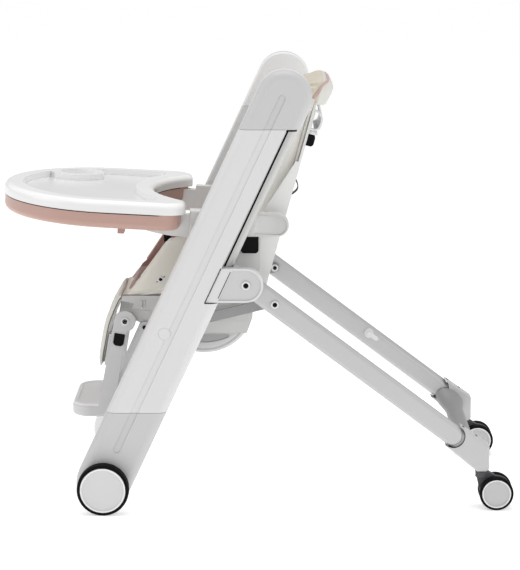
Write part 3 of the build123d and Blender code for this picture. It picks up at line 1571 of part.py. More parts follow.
# Tray base: a deck with a skirt and two channels that ride on the arms' tongues
channel_inner = arm_inner + tongue_inset - channel_gap
channel_outer = arm_outer - tongue_inset + channel_gap
channel_middle = (channel_inner + channel_outer) / 2
channel_width = channel_outer - channel_inner
skirt_inset = tray_base_inset + tray_skirt
rib_end = bite_centre - (bite_radius**2 - (channel_inner - channel_rib) ** 2) ** 0.5 - tray_base_short
with BuildPart() as tray_base:
    extrude(
        tray_outline(
            tray_plane.offset(-tray_base_height), tray_base_inset, tray_base_short, tray_corner, tray_lobe
        ),
        amount=tray_base_height - tray_gap,
    )
    under_face = tray_base.faces().filter_by(tray_plane).sort_by(Axis.Z)[0]
    fillet(under_face.edges(), tray_base_round)
    extrude(
        tray_outline(
            tray_plane.offset(-tray_base_height - cut_over),
            skirt_inset,
            tray_base_short + tray_skirt,
            tray_corner - tray_skirt,
            tray_lobe - tray_skirt,
        ),
        amount=tray_base_height - tray_gap - tray_side + cut_over,
        mode=Mode.SUBTRACT,
    )
    for side in (-1, 1):
        with BuildSketch(tray_plane.offset(-tray_base_height + tray_side)):
            with Locations(((channel_front + rib_end) / 2, side * channel_middle)):
                Rectangle(rib_end - channel_front, channel_width + 2 * channel_rib)
        extrude(amount=tray_base_height - tray_gap - 2 * tray_side)
    for side in (-1, 1):
        with BuildSketch(tray_plane.offset(-tray_base_height - cut_over)):
            with Locations(((channel_front + channel_rib + tray_length) / 2, side * channel_middle)):
                Rectangle(tray_length - channel_front - channel_rib, channel_width)
        extrude(amount=tray_base_height - tray_gap - tray_side + cut_over, mode=Mode.SUBTRACT)
write(tray_base, "tray_base")

# Tray latches between the channel ribs
with BuildPart() as tray_latches:
    for side in (-1, 1):
        with BuildSketch(tray_plane.offset(-tray_base_height - latch_drop)):
            with Locations((latch_x, side * channel_middle)):
                Rectangle(latch_length, channel_width - 2 * part_gap)
        extrude(amount=latch_drop + latch_rise)
    fillet(tray_latches.edges().filter_by(Axis.Y).group_by(Axis.Z)[0], latch_length / 4)
write(tray_latches, "tray_latches")
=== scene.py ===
import json
import math

import bpy
import numpy as np
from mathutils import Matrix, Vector
from mathutils.bvhtree import BVHTree


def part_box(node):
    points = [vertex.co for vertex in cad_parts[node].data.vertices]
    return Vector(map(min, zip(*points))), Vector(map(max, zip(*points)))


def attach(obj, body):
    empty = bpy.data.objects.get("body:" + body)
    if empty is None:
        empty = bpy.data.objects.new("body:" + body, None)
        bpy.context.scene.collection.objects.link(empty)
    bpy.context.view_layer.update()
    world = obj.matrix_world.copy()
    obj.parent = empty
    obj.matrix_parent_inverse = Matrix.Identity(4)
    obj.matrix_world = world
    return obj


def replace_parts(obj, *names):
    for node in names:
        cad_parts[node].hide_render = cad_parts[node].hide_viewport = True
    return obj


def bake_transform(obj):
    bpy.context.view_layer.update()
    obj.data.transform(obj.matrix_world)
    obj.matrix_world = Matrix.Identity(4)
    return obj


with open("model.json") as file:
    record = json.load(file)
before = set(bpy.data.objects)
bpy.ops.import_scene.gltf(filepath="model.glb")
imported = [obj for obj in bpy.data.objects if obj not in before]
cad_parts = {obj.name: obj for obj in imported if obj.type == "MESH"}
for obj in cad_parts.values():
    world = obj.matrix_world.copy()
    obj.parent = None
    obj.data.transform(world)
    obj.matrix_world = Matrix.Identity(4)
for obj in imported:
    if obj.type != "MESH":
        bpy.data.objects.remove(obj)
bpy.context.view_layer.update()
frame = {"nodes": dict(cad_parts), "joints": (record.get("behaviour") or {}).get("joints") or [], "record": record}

nodes = frame["nodes"]
joints = {j["name"]: j for j in frame["joints"]}
mm = 0.001
sideways = np.array([0.0, 1.0, 0.0])  # to the child's right
bothSides = (("left", -1), ("right", 1))
farOut = 0.5  # metres, further to the side than any piece and higher than the rear feet


# Places

def leaningPlane(origin, up):
    # behind runs to the rear, along runs up the lean, across to the child's right; all in millimetres
    up = np.array(up, float)
    rear = np.array([up[2], 0.0, -up[0]])

    def place(behind, along, across):
        b, a, c = np.broadcast_arrays(np.asarray(behind, float), along, across)
        return np.array(origin) + mm * (b[..., None] * rear + a[..., None] * up + c[..., None] * sideways)

    return place


def leanAxis(degrees):
    return (math.sin(math.radians(degrees)), 0.0, math.cos(math.radians(degrees)))


footLean = 9.6
hub = np.array(joints["footrest_lift"]["pos_m"])
onBack = leaningPlane(joints["recline"]["pos_m"], joints["recline_squeeze"]["axis"])
onCalf = leaningPlane(hub, leanAxis(footLean))
seatLow, seatHigh = (np.array(corner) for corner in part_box("seat_cushion"))


# Mesh building

def gridFaces(rows, cols, closeRows=False, closeCols=False):
    # quads of a rows by cols grid of points, wrapped round where a direction is closed
    index = np.arange(rows * cols).reshape(rows, cols)
    if closeRows:
        index = np.vstack([index, index[:1]])
    if closeCols:
        index = np.hstack([index, index[:, :1]])
    return np.stack([index[:-1, :-1], index[1:, :-1], index[1:, 1:], index[:-1, 1:]], -1).reshape(-1, 4)


def pieceFrom(name, points, faces, material):
    mesh = bpy.data.meshes.new(name)
    mesh.from_pydata(np.asarray(points).reshape(-1, 3).tolist(), [], [list(map(int, f)) for f in faces])
    mesh.validate()
    mesh.polygons.foreach_set("use_smooth", np.full(len(mesh.polygons), True))
    mesh.materials.append(material)
    piece = bpy.data.objects.new(name, mesh)
    bpy.context.scene.collection.objects.link(piece)
    return piece


def outward(piece):
    # turns every face of a closed mesh to the outside
    bpy.ops.object.select_all(action="DESELECT")
    piece.select_set(True)
    bpy.context.view_layer.objects.active = piece
    bpy.ops.object.mode_set(mode="EDIT")
    bpy.ops.mesh.select_all(action="SELECT")
    bpy.ops.mesh.normals_make_consistent(inside=False)
    bpy.ops.object.mode_set(mode="OBJECT")
    return piece


def smoothPath(points, count):
    # Catmull-Rom curve through the points, sampled evenly in its parameter
    p = np.asarray(points, float)
    p = np.vstack([2 * p[0] - p[1], p, 2 * p[-1] - p[-2]])
    s = np.linspace(0, len(p) - 3 - 1e-9, count)
    i = s.astype(int)
    t = (s - i)[:, None]
    p0, p1, p2, p3 = (p[i + k] for k in range(4))
    return 0.5 * (2 * p1 + (p2 - p0) * t + (2 * p0 - 5 * p1 + 4 * p2 - p3) * t**2
                  + (3 * p1 - p0 - 3 * p2 + p3) * t**3)


def tube(name, path, radius, material, sides=12, closed=False):
    # circle carried along a path: each ring stands square to the path's direction
    path = np.asarray(path, float)
    if closed:
        along = np.roll(path, -1, 0) - np.roll(path, 1, 0)
    else:
        along = np.gradient(path, axis=0)
    along /= np.linalg.norm(along, axis=1)[:, None]
    helper = np.where(np.abs(along[:, 1:2]) < 0.9, sideways, np.array([1.0, 0, 0]))
    first = np.cross(along, helper)
    first /= np.linalg.norm(first, axis=1)[:, None]
    second = np.cross(along, first)
    turn = np.linspace(0, 2 * np.pi, sides, endpoint=False)
    ring = np.cos(turn)[None, :, None] * first[:, None] + np.sin(turn)[None, :, None] * second[:, None]
    points = (path[:, None] + radius * ring).reshape(-1, 3)
    faces = gridFaces(len(path), sides, closeRows=closed, closeCols=True).tolist()
    if not closed:
        ends = np.arange(sides)
        faces += [ends[::-1].tolist(), (ends + (len(path) - 1) * sides).tolist()]
    return outward(pieceFrom(name, points, faces, material))


def ribbon(name, path, across, width, thick, material):
    # flat strap: a thin rounded rectangle carried along a path, its long side along the given direction
    path = np.asarray(path, float)
    across = np.broadcast_to(np.asarray(across, float), path.shape)
    along = np.gradient(path, axis=0)
    along /= np.linalg.norm(along, axis=1)[:, None]
    out = np.cross(along, across)
    out /= np.linalg.norm(out, axis=1)[:, None]
    under = [(-1, -0.4), (-0.96, -1), (-0.5, -1), (0, -1), (0.5, -1), (0.96, -1), (1, -0.4)]
    section = np.array(under + [(-a, -b) for a, b in under]) * (width / 2, thick / 2)
    points = path[:, None] + section[None, :, :1] * across[:, None] + section[None, :, 1:] * out[:, None]
    rows, cols = points.shape[:2]
    faces = gridFaces(rows, cols, closeCols=True).tolist()
    faces += [np.arange(cols)[::-1].tolist(), (np.arange(cols) + (rows - 1) * cols).tolist()]
    piece = pieceFrom(name, points, faces, material)
    gone = np.concatenate([[0], np.cumsum(np.linalg.norm(np.diff(path, axis=0), axis=1))])
    lay = np.stack(np.broadcast_arrays(gone[:, None], section[None, :, 0], section[None, :, 1]), -1)
    laid = piece.data.attributes.new("lay", "FLOAT_VECTOR", "POINT")
    laid.data.foreach_set("vector", lay.astype(np.float32).ravel())
    return outward(piece)


def squareTo(axis):
    # two directions square to an axis and to each other
    first = np.cross(axis, [0.3, 0.2, 0.9])
    first /= np.linalg.norm(first)
    return first, np.cross(axis, first)


def turned(name, profile, centre, axis, material, sides=40):
    # profile of (radius, height) pairs turned round an axis through a centre, closed at both ends
    profile = np.asarray(profile, float)
    axis = np.asarray(axis, float) / np.linalg.norm(axis)
    first, second = squareTo(axis)
    turn = np.linspace(0, 2 * np.pi, sides, endpoint=False)
    ring = np.cos(turn)[:, None] * first + np.sin(turn)[:, None] * second
    points = np.asarray(centre) + profile[:, 0, None, None] * ring[None] + profile[:, 1, None, None] * axis
    faces = gridFaces(len(profile), sides, closeCols=True).tolist()
    faces += [np.arange(sides).tolist(), (np.arange(sides) + (len(profile) - 1) * sides).tolist()]
    return outward(pieceFrom(name, points, faces, material))


def joined(name, pieces):
    bpy.ops.object.select_all(action="DESELECT")
    for piece in pieces:
        piece.select_set(True)
    bpy.context.view_layer.objects.active = pieces[0]
    bpy.ops.object.join()
    pieces[0].name = name
    pieces[0].data.name = name
    return pieces[0]


def coordinates(piece):
    flat = np.empty(len(piece.data.vertices) * 3)
    piece.data.vertices.foreach_get("co", flat)
    return flat.reshape(-1, 3)


def setCoordinates(piece, points):
    piece.data.vertices.foreach_set("co", np.asarray(points).ravel())
    piece.data.update()


def normalsOf(piece):
    flat = np.empty(len(piece.data.vertices) * 3)
    piece.data.vertices.foreach_get("normal", flat)
    return flat.reshape(-1, 3)


# Shader maths

class Wire:
    # one output of a node; arithmetic on it adds Math nodes to the same tree
    def __init__(self, tree, socket=None):
        self.tree, self.socket = tree, socket

    def add(self, kind, settings=None, values=None, out=0):
        # any node: its settings first, then the value or link of each socket; gives the chosen output
        node = self.tree.nodes.new("ShaderNode" + kind)
        for key, value in (settings or {}).items():
            setattr(node, key, value)
        for key, value in (values or {}).items():
            if isinstance(value, Wire):
                self.tree.links.new(value.socket, node.inputs[key])
            else:
                node.inputs[key].default_value = value
        return Wire(self.tree, node.outputs[out])

    def math(self, operation, a, b=0.0, clamp=False):
        return self.add("Math", {"operation": operation, "use_clamp": clamp}, {0: a, 1: b})

    def mix(self, factor, a, b):
        return self.add("Mix", {"data_type": "RGBA"}, {0: factor, 6: a, 7: b}, 2)

    def __add__(self, other):
        return self.math("ADD", self, other)

    def __sub__(self, other):
        return self.math("SUBTRACT", self, other)

    def __rsub__(self, other):
        return self.math("SUBTRACT", other, self)

    def __mul__(self, other):
        return self.math("MULTIPLY", self, other)

    __radd__, __rmul__ = __add__, __mul__


def shade(colour, factor):
    return tuple(min(1.0, c * factor) for c in colour[:3]) + (1.0,)


def grey(level):
    return (level, level, level)


def newMaterial(name):
    material = bpy.data.materials.new(name)
    material.use_nodes = True
    tree = material.node_tree
    return material, Wire(tree), tree.nodes["Principled BSDF"]


def feed(tree, bsdf, values):
    for key, value in values.items():
        if isinstance(value, Wire):
            tree.links.new(value.socket, bsdf.inputs[key])
        else:
            bsdf.inputs[key].default_value = value


def noise(wire, coords, scale, detail=2.0, rough=0.5):
    return wire.add("TexNoise", {}, {"Vector": coords, "Scale": scale, "Detail": detail, "Roughness": rough})


def rubbedAndLitEdge(wire, radius):
    # how far the rounded normal at an edge turns from the face's own one, 0 on a flat
    soft = wire.add("Bevel", {"samples": 4}, {"Radius": radius})
    hard = wire.add("NewGeometry", out=1)
    dot = wire.add("VectorMath", {"operation": "DOT_PRODUCT"}, {0: soft, 1: hard}, 1)
    return soft, wire.math("MULTIPLY", 1 - dot, 5.0, clamp=True)


def mouldedPlastic(name, colour, roughness, grain=1100.0, depth=0.12, coat=0.0, shine=0.45,
                   second=None, third=None):
    # fine spark grain, slow drift of tone from the mould, and edges rubbed smoother and painted a little lighter,
    # partly wear and partly painted highlight;
    # second and third are the colours where the piece carries the mark of that name
    material, wire, bsdf = newMaterial(name)
    coords = wire.add("TexCoord", out=3)
    drift = noise(wire, coords, 5.0, 3.0)
    sparks = noise(wire, coords, grain, 2.0, 0.6)
    soft, wornAndLit = rubbedAndLitEdge(wire, 0.9 * mm)
    base = wire.mix(drift, shade(colour, 0.965), shade(colour, 1.03))
    for tone, marked in (("second", second), ("third", third)):
        if marked:
            base = wire.mix(wire.add("Attribute", {"attribute_name": tone}, out=2), base, shade(marked, 1.0))
    # edges painted lighter: partly rubbed wear, partly painted highlight
    base = wire.mix(wornAndLit * 0.22, base, shade(colour, 1.12))
    bump = wire.add("Bump", {}, {"Strength": depth, "Distance": 0.0003, "Height": sparks, "Normal": soft})
    feed(wire.tree, bsdf, {
        "Base Color": base,
        "Roughness": roughness + (drift - 0.5) * 0.12 + (sparks - 0.5) * 0.08 - wornAndLit * 0.06,
        "Normal": bump, "Coat Weight": coat, "Coat Roughness": 0.12, "Specular IOR Level": shine,
    })
    return material


def brushedMetal(name, colour, roughness, lean, paint=0.0):
    # hairlines drawn out along the piece: noise whose long direction is turned to the piece's lean
    material, wire, bsdf = newMaterial(name)
    coords = wire.add("TexCoord", out=3)
    turnedTo = wire.add("Mapping", {}, {"Vector": coords, "Rotation": (0, math.radians(lean), 0)})
    drawn = wire.add("Mapping", {}, {"Vector": turnedTo, "Scale": (4.0, 900.0, 900.0)})
    lines = noise(wire, drawn, 1.0, 3.0, 0.65)
    drift = noise(wire, coords, 7.0, 2.0)
    soft, wornAndLit = rubbedAndLitEdge(wire, 0.7 * mm)
    base = wire.mix(lines, shade(colour, 0.93), shade(colour, 1.05))
    # edges painted lighter: partly rubbed wear, partly painted highlight
    base = wire.mix(wornAndLit * 0.35, base, shade(colour, 1.25))
    bump = wire.add("Bump", {}, {"Strength": 0.05, "Distance": 0.0002, "Height": lines, "Normal": soft})
    feed(wire.tree, bsdf, {
        "Base Color": base, "Metallic": 1.0 - paint,
        "Roughness": roughness + (lines - 0.5) * 0.16 + (drift - 0.5) * 0.08,
        "Normal": bump,
    })
    return material


def softVinyl(name, colour, lining=None, roughness=0.5, pale=None):
    # leather-like grain of small cells and slow creases; lining and pale are the colours where the piece
    # carries the mark of that name
    material, wire, bsdf = newMaterial(name)
    coords = wire.add("TexCoord", out=3)
    cells = wire.add("TexVoronoi", {"feature": "DISTANCE_TO_EDGE"}, {"Vector": coords, "Scale": 620.0})
    creases = noise(wire, coords, 38.0, 4.0, 0.6)
    drift = noise(wire, coords, 9.0, 3.0)
    base = wire.mix(drift, shade(colour, 0.95), shade(colour, 1.04))
    if lining:
        inner = wire.add("Attribute", {"attribute_name": "lining"}, out=2)
        inner = wire.math("MULTIPLY", inner - 0.4, 5.0, clamp=True)
        base = wire.mix(inner, base, wire.mix(drift, shade(lining, 0.93), shade(lining, 1.05)))
    # pale: painted light on faces that lie in shade
    if pale:
        base = wire.mix(wire.add("Attribute", {"attribute_name": "pale"}, out=2), base, shade(pale, 1.0))
    base = wire.mix((1 - cells * 6.0) * 0.10, base, shade(colour, 0.72))
    height = cells * 0.8 + creases * 0.9
    bump = wire.add("Bump", {}, {"Strength": 0.22, "Distance": 0.0006, "Height": height})
    feed(wire.tree, bsdf, {
        "Base Color": base, "Roughness": roughness + (creases - 0.5) * 0.15, "Normal": bump,
        "Sheen Weight": 0.12, "Sheen Roughness": 0.5, "Specular IOR Level": 0.4,
    })
    return material


def wovenWebbing(name, colour):
    # ribs across the strap and a finer zigzag along it, both from the strap's own lay
    material, wire, bsdf = newMaterial(name)
    lay = wire.add("Attribute", {"attribute_name": "lay"}, out=1)
    split = wire.add("SeparateXYZ", {}, {0: lay})
    along, across = split, Wire(wire.tree, split.socket.node.outputs[1])
    ribs = wire.math("SINE", along * 3200.0) * 0.5 + 0.5
    zigzag = wire.math("SINE", across * 4200.0 + wire.math("SINE", along * 1600.0) * 1.5) * 0.5 + 0.5
    weave = ribs * 0.6 + zigzag * 0.4
    base = wire.mix(weave, shade(colour, 0.6), shade(colour, 1.5))
    bump = wire.add("Bump", {}, {"Strength": 0.5, "Distance": 0.0005, "Height": weave})
    feed(wire.tree, bsdf, {
        "Base Color": base, "Roughness": 0.85 - weave * 0.1, "Normal": bump, "Sheen Weight": 0.3,
    })
    return material


def blackRubber(name, colour):
    # dusty matt rubber with mould flow marks
    material, wire, bsdf = newMaterial(name)
    coords = wire.add("TexCoord", out=3)
    dust = noise(wire, coords, 60.0, 4.0, 0.65)
    fine = noise(wire, coords, 900.0, 2.0)
    base = wire.mix(dust, shade(colour, 0.7), shade(colour, 1.6))
    bump = wire.add("Bump", {}, {"Strength": 0.15, "Distance": 0.0003, "Height": fine})
    feed(wire.tree, bsdf, {
        "Base Color": base, "Roughness": 0.55 + dust * 0.3, "Normal": bump, "Specular IOR Level": 0.10,
    })
    return material


# Finishes, one for each slot of the record
legFall = 36.8
postLean = 90 - 25.1
finishes = {
    "post_white": mouldedPlastic("postWhite", grey(0.68), 0.42, depth=0.10, second=grey(0.58)),
    # second tone: painted light on the inner side of the caps and feet
    "post_grey": mouldedPlastic("postGrey", grey(0.56), 0.45, depth=0.10, second=grey(0.80)),
    "rail_metal": brushedMetal("railMetal", (0.54, 0.54, 0.53), 0.42, -postLean, paint=0.55),
    "disc_white": mouldedPlastic("discWhite", grey(0.65), 0.35, grain=700.0, depth=0.06, second=grey(0.50)),
    "tyre_black": blackRubber("tyreBlack", (0.0035, 0.0035, 0.004)),
    "leg_metal": brushedMetal("legMetal", grey(0.52), 0.40, legFall, paint=0.6),
    "leg_plastic": mouldedPlastic("footGrey", grey(0.53), 0.42),
    "brace_metal": brushedMetal("braceMetal", grey(0.30), 0.45, -14.0, paint=0.6),
    "caster_grey": mouldedPlastic("casterGrey", (0.075, 0.075, 0.08), 0.42, depth=0.2, shine=0.3),
    # third tone: painted light on the lower back shell
    "arm_white": mouldedPlastic("armWhite", (0.74, 0.74, 0.73), 0.32, grain=900.0, depth=0.05, coat=0.15,
                                second=(0.57, 0.57, 0.56), third=(0.84, 0.84, 0.83)),
    "slider_black": mouldedPlastic("sliderBlack", grey(0.02), 0.5, depth=0.2, shine=0.2),
    "button_black": mouldedPlastic("buttonBlack", (0.004, 0.004, 0.0045), 0.5, grain=800.0, depth=0.3,
                                   shine=0.10),
    "steel": brushedMetal("screwSteel", grey(0.66), 0.36, 0.0),
    "cross_grey": mouldedPlastic("crossGrey", (0.27, 0.27, 0.275), 0.45),
    # second tone: painted shade in the sunk side panel of the belly
    "seat_grey": mouldedPlastic("seatGrey", (0.58, 0.58, 0.575), 0.42, second=grey(0.40)),
    # the lining colour of the seat cover is its pink lining darkened by painted shade from the tray above
    "vinyl_cream": softVinyl("vinylCream", (0.70, 0.675, 0.605), lining=(0.265, 0.150, 0.128)),
    "strap_black": wovenWebbing("strapBlack", (0.010, 0.010, 0.011)),
    # second tone: painted light on the top of the foot plate
    "footrest_grey": mouldedPlastic("footrestGrey", grey(0.60), 0.42, second=(0.91, 0.93, 0.94)),
    "tray_pink": mouldedPlastic("trayPink", (0.47, 0.295, 0.25), 0.36, grain=900.0, depth=0.06, coat=0.1),
    # second and third tones: painted shade on the tray top's walls and sunk floor
    "tray_white": mouldedPlastic("trayWhite", grey(0.965), 0.20, grain=500.0, depth=0.02, coat=0.3,
                                 second=grey(0.77), third=grey(0.81)),
}
# pale is painted light on the back cushion's sides, which lie in shade between post and shell
backVinyl = softVinyl("backVinyl", (0.63, 0.62, 0.575), lining=(0.60, 0.545, 0.445), pale=(0.93, 0.91, 0.86))
calfVinyl = softVinyl("calfVinyl", (0.66, 0.65, 0.61))
weltGrey = softVinyl("weltGrey", (0.07, 0.067, 0.062))
pipingPink = softVinyl("pipingPink", (0.50, 0.36, 0.33), roughness=0.45)
pipingCream = softVinyl("pipingCream", (0.72, 0.70, 0.64), roughness=0.45)
# white ring on the wheel discs: a raised rim whose colour is a painted highlight
ringWhite = mouldedPlastic("ringWhite", grey(0.88), 0.30, grain=700.0, depth=0.05)
screwDark = mouldedPlastic("screwDark", (0.006, 0.006, 0.0065), 0.42, shine=0.12)
for part in frame["record"]["subparts"]:
    mesh = nodes[part["node"]].data
    mesh.materials.clear()
    mesh.materials.append(finishes[part["material_slot"]])


# Padding

def skinOf(piece, voxel):
    # even skin of small faces round a closed mesh
    remesh = piece.modifiers.new("skin", "REMESH")
    remesh.mode, remesh.voxel_size, remesh.use_smooth_shade = "VOXEL", voxel, True
    skin = bpy.data.meshes.new_from_object(piece.evaluated_get(bpy.context.evaluated_depsgraph_get()))
    piece.modifiers.remove(remesh)
    old, piece.data = piece.data, skin
    bpy.data.meshes.remove(old)
    return piece


def relax(piece, rounds):
    # each round moves every point half way to the middle of its neighbours, which softens the edges
    ends = np.empty(len(piece.data.edges) * 2, np.int32)
    piece.data.edges.foreach_get("vertices", ends)
    first, second = ends.reshape(-1, 2).T
    p = coordinates(piece)
    count = np.bincount(ends, minlength=len(p))[:, None]
    for _ in range(rounds):
        total = np.zeros_like(p)
        np.add.at(total, first, p[second])
        np.add.at(total, second, p[first])
        p = 0.5 * (p + total / count)
    setCoordinates(piece, p)


def press(piece, depth):
    # moves each point against its normal by its own depth
    setCoordinates(piece, coordinates(piece) - np.reshape(depth, (-1, 1)) * normalsOf(piece))


def swell(piece, pressure, cap, frames=20):
    # cloth blown up from inside; no point moves further than the cap
    start = coordinates(piece)
    cloth = piece.modifiers.new("blown", "CLOTH")
    cloth.settings.use_pressure = True
    cloth.settings.uniform_pressure_force = pressure
    cloth.settings.effector_weights.gravity = 0
    cloth.settings.quality = 4
    cloth.point_cache.frame_start, cloth.point_cache.frame_end = 1, frames
    for moment in range(1, frames + 1):
        bpy.context.scene.frame_set(moment)
    shaped = piece.evaluated_get(bpy.context.evaluated_depsgraph_get()).data
    moved = np.empty(len(shaped.vertices) * 3)
    shaped.vertices.foreach_get("co", moved)
    shift = moved.reshape(-1, 3) - start
    length = np.linalg.norm(shift, axis=1)[:, None]
    piece.modifiers.remove(cloth)
    bpy.context.scene.frame_set(1)
    setCoordinates(piece, start + shift * np.minimum(1, cap / np.maximum(length, 1e-9)))
    piece.data.polygons.foreach_set("use_smooth", np.full(len(piece.data.polygons), True))
    return piece


def cushionFrom(node, name, s, cover):
    # cover sewn round the CAD solid: its skin is softened, drawn in by the inset, then blown out again
    piece = bpy.data.objects.new(name, nodes[node].data.copy())
    piece.data.name = name
    bpy.context.scene.collection.objects.link(piece)
    skinOf(piece, s["voxel"])
    skin = coordinates(piece) - s["skinInset"] * normalsOf(piece)
    relax(piece, s["rounds"])
    press(piece, np.full(len(piece.data.vertices), s["inset"]))
    swell(piece, s["pressure"], s["inset"])
    piece.data.materials.clear()
    piece.data.materials.append(cover)
    return piece, skin


def refine(piece):
    smooth = piece.modifiers.new("round", "SUBSURF")
    smooth.levels = smooth.render_levels = 1
    return piece


def mark(piece, name, values):
    # gives each point of a piece a value that its material reads by name
    marked = piece.data.attributes.new(name, "FLOAT", "POINT")
    marked.data.foreach_set("value", np.asarray(values, np.float32))


def surfaceOf(piece):
    mesh = piece.data
    return BVHTree.FromPolygons(coordinates(piece).tolist(), [list(face.vertices) for face in mesh.polygons])


def laidOn(piece, points, lift):
    # each point moved to the nearest place on a piece's surface and lifted off it, and the normals there
    surface = surfaceOf(piece)
    found = [surface.find_nearest(Vector(point)) for point in points]
    normals = np.array([hit[1] for hit in found])
    return np.array([hit[0] for hit in found]) + lift * normals, normals


def evened(path, rounds=6):
    # each round averages a path's inner points with their two neighbours
    path = np.array(path, float)
    for _ in range(rounds):
        path[1:-1] = 0.25 * path[:-2] + 0.5 * path[1:-1] + 0.25 * path[2:]
    return path


def levelWith(path, normals):
    # directions square to a path in the surface it runs on
    level = np.cross(normals, np.gradient(path, axis=0))
    return level / np.linalg.norm(level, axis=1)[:, None]


def fade(values, start, length):
    # 0 up to the start and 1 one length past it, straight between; a negative length runs the other way
    return np.clip((values - start) / length, 0, 1)


def step(values, middle, length):
    # the same fade, given by its middle
    return np.clip((values - middle) / length + 0.5, 0, 1)


def averaged(piece, values, rounds):
    # each round gives every point the mean of its own value and its neighbours' along the edges
    ends = np.empty(2 * len(piece.data.edges), int)
    piece.data.edges.foreach_get("vertices", ends)
    first, second = ends.reshape(-1, 2).T
    count = 1 + np.bincount(ends, minlength=len(values))
    for _ in range(rounds):
        total = np.bincount(first, values[second], len(values))
        total += np.bincount(second, values[first], len(values))
        values = (values + total) / count
    return values


def extremes(points, score, axis, places, window=3 * mm):
    # for each place on an axis, the point of least score among those within the window of that place
    away = np.abs(points[:, axis] - np.reshape(places, (-1, 1)))
    return points[np.argmin(score + 1e3 * np.maximum(0, away - window), axis=1)]


def outerPoint(piece, x, z, turn):
    # first place met on a piece by a level line that comes in from one side
    place, normal, _, _ = surfaceOf(piece).ray_cast(Vector((x, turn * farOut, z)), Vector((0, -turn, 0)))
    return np.array(place), np.array(normal)


# Seat cushion with its two leaning wings, sewn edges and side snaps
seatPad = {
    "voxel": 0.0045, "rounds": 3, "inset": 0.0028, "skinInset": 0.0, "pressure": 4.0,
    "channels": 3, "channelPitch": 62.0, "channelDepth": 2.5, "channelWidth": 4.5,
    "flatHalf": (70.0, -12.0), "flatHigh": 20.0,
    "padHigh": 24.0, "rimLow": 44.0, "rollHigh": 16.0, "liningFade": 6.0,
    "innerTurn": (1 / 30, -1 / 3), "topTurn": (0.55, 1 / 6), "liningRounds": 10, "liningEdge": 0.25,
    "wingOut": 0.1, "wingLow": 38.0, "edgeEnds": (50.0, 8.0), "crestEnds": (14.0, 20.0),
    "edgeRadius": 1.5, "edgeLift": 0.4,
    "hem": [(-0.262, 0.4155), (-0.237, 0.4165), (-0.193, 0.4265), (-0.150, 0.441)],
    "snapPlace": (-0.195, 0.454), "snapRadius": 7.0,
    "pinSpread": 9.5, "pinRadius": 1.3, "pinSlope": (0.80, 0.0, 0.60),
}


def buildSnap(name, piece, turn):
    # ring, stud and two pins, each a turned profile of (radius, height) pairs
    s = seatPad
    place, normal = outerPoint(piece, *s["snapPlace"], turn)
    r = s["snapRadius"]
    rim = np.array([
        (r * 0.50, -0.8), (r, -0.8), (r, 0.7), (r * 0.86, 1.6), (r * 0.60, 1.5), (r * 0.52, 0.5),
    ]) * mm
    stud = np.array([(0.4, -0.5), (r * 0.50, -0.5), (r * 0.50, 1.6), (r * 0.30, 2.3), (0.4, 2.4)]) * mm
    pin = np.array([(0.2, -0.8), (s["pinRadius"], -0.8), (s["pinRadius"], 0.5), (0.2, 0.8)]) * mm
    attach(turned(f"{name}Ring", rim, place, normal, finishes["arm_white"]), "seat")
    dark = [turned(f"{name}Stud", stud, place, normal, finishes["button_black"])]
    for index, way in enumerate((-1, 1)):
        spot = place + way * s["pinSpread"] * mm * np.array(s["pinSlope"])
        spot, facing = outerPoint(piece, spot[0], spot[2], turn)
        dark.append(turned(f"{name}Pin{index}", pin, spot, facing, finishes["button_black"], sides=16))
    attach(joined(f"{name}Studs", dark), "seat")


def buildSeat():
    s = seatPad
    piece, _ = cushionFrom("seat_cushion", "seatCushion", s, finishes["vinyl_cream"])
    p = coordinates(piece)
    h = (p[:, 2] - seatLow[2]) / mm
    # sewn channels across the flat of the seat
    centres = seatLow[0] + mm * s["channelPitch"] * np.arange(1, 1 + s["channels"])
    gap = np.abs(p[:, :1] - centres).min(1) / mm
    flat = fade(np.abs(p[:, 1]) / mm, *s["flatHalf"]) * (h > s["flatHigh"])
    press(piece, mm * s["channelDepth"] * np.exp(-((gap / s["channelWidth"]) ** 2)) * flat)
    # the lining shows on the inner side of each wing and on the seat between them, up to the front roll; its
    # colour is the pink lining darkened by painted shade from the tray above
    normals = normalsOf(piece)
    inwards = normals[:, 1] * np.sign(p[:, 1])
    wings = fade(inwards, *s["innerTurn"]) * step(h, s["padHigh"], s["liningFade"])
    top = step(normals[:, 2], *s["topTurn"])
    top = top * step(h, s["rimLow"], -s["liningFade"]) * step(h, s["rollHigh"], s["liningFade"])
    lining = averaged(piece, np.maximum(wings, top), s["liningRounds"])
    mark(piece, "lining", step(lining, 0.5, s["liningEdge"]))
    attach(refine(piece), "seat")
    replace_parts(piece, "seat_cushion")
    p = coordinates(piece)
    for name, turn in bothSides:
        # bound edge: follows the foremost point of the wing at each height, then its crest towards the rear
        wing = p[(p[:, 1] * turn > s["wingOut"]) & (h > s["wingLow"])]
        below, above = s["edgeEnds"]
        levels = np.linspace(seatLow[2] + below * mm, seatHigh[2] - above * mm, 26)
        front = extremes(wing, wing[:, 0], 2, levels)
        ahead, behind = s["crestEnds"]
        places = np.linspace(front[-1][0] + ahead * mm, seatHigh[0] - behind * mm, 24)
        crest = extremes(wing, -wing[:, 2], 0, places)
        path = smoothPath(evened(np.vstack([front, crest]), 10), 120)
        path, _ = laidOn(piece, evened(path, 8), s["edgeLift"] * mm)
        edge = tube(f"{name}WingEdge", evened(path), s["edgeRadius"] * mm, pipingCream)
        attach(edge, "seat")
        hem = [outerPoint(piece, x, z, turn)[0] for x, z in smoothPath(s["hem"], 40)]
        hem = tube(f"{name}WingHem", evened(hem), s["edgeRadius"] * mm, pipingCream)
        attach(hem, "seat")
        buildSnap(f"{name}Snap", piece, turn)


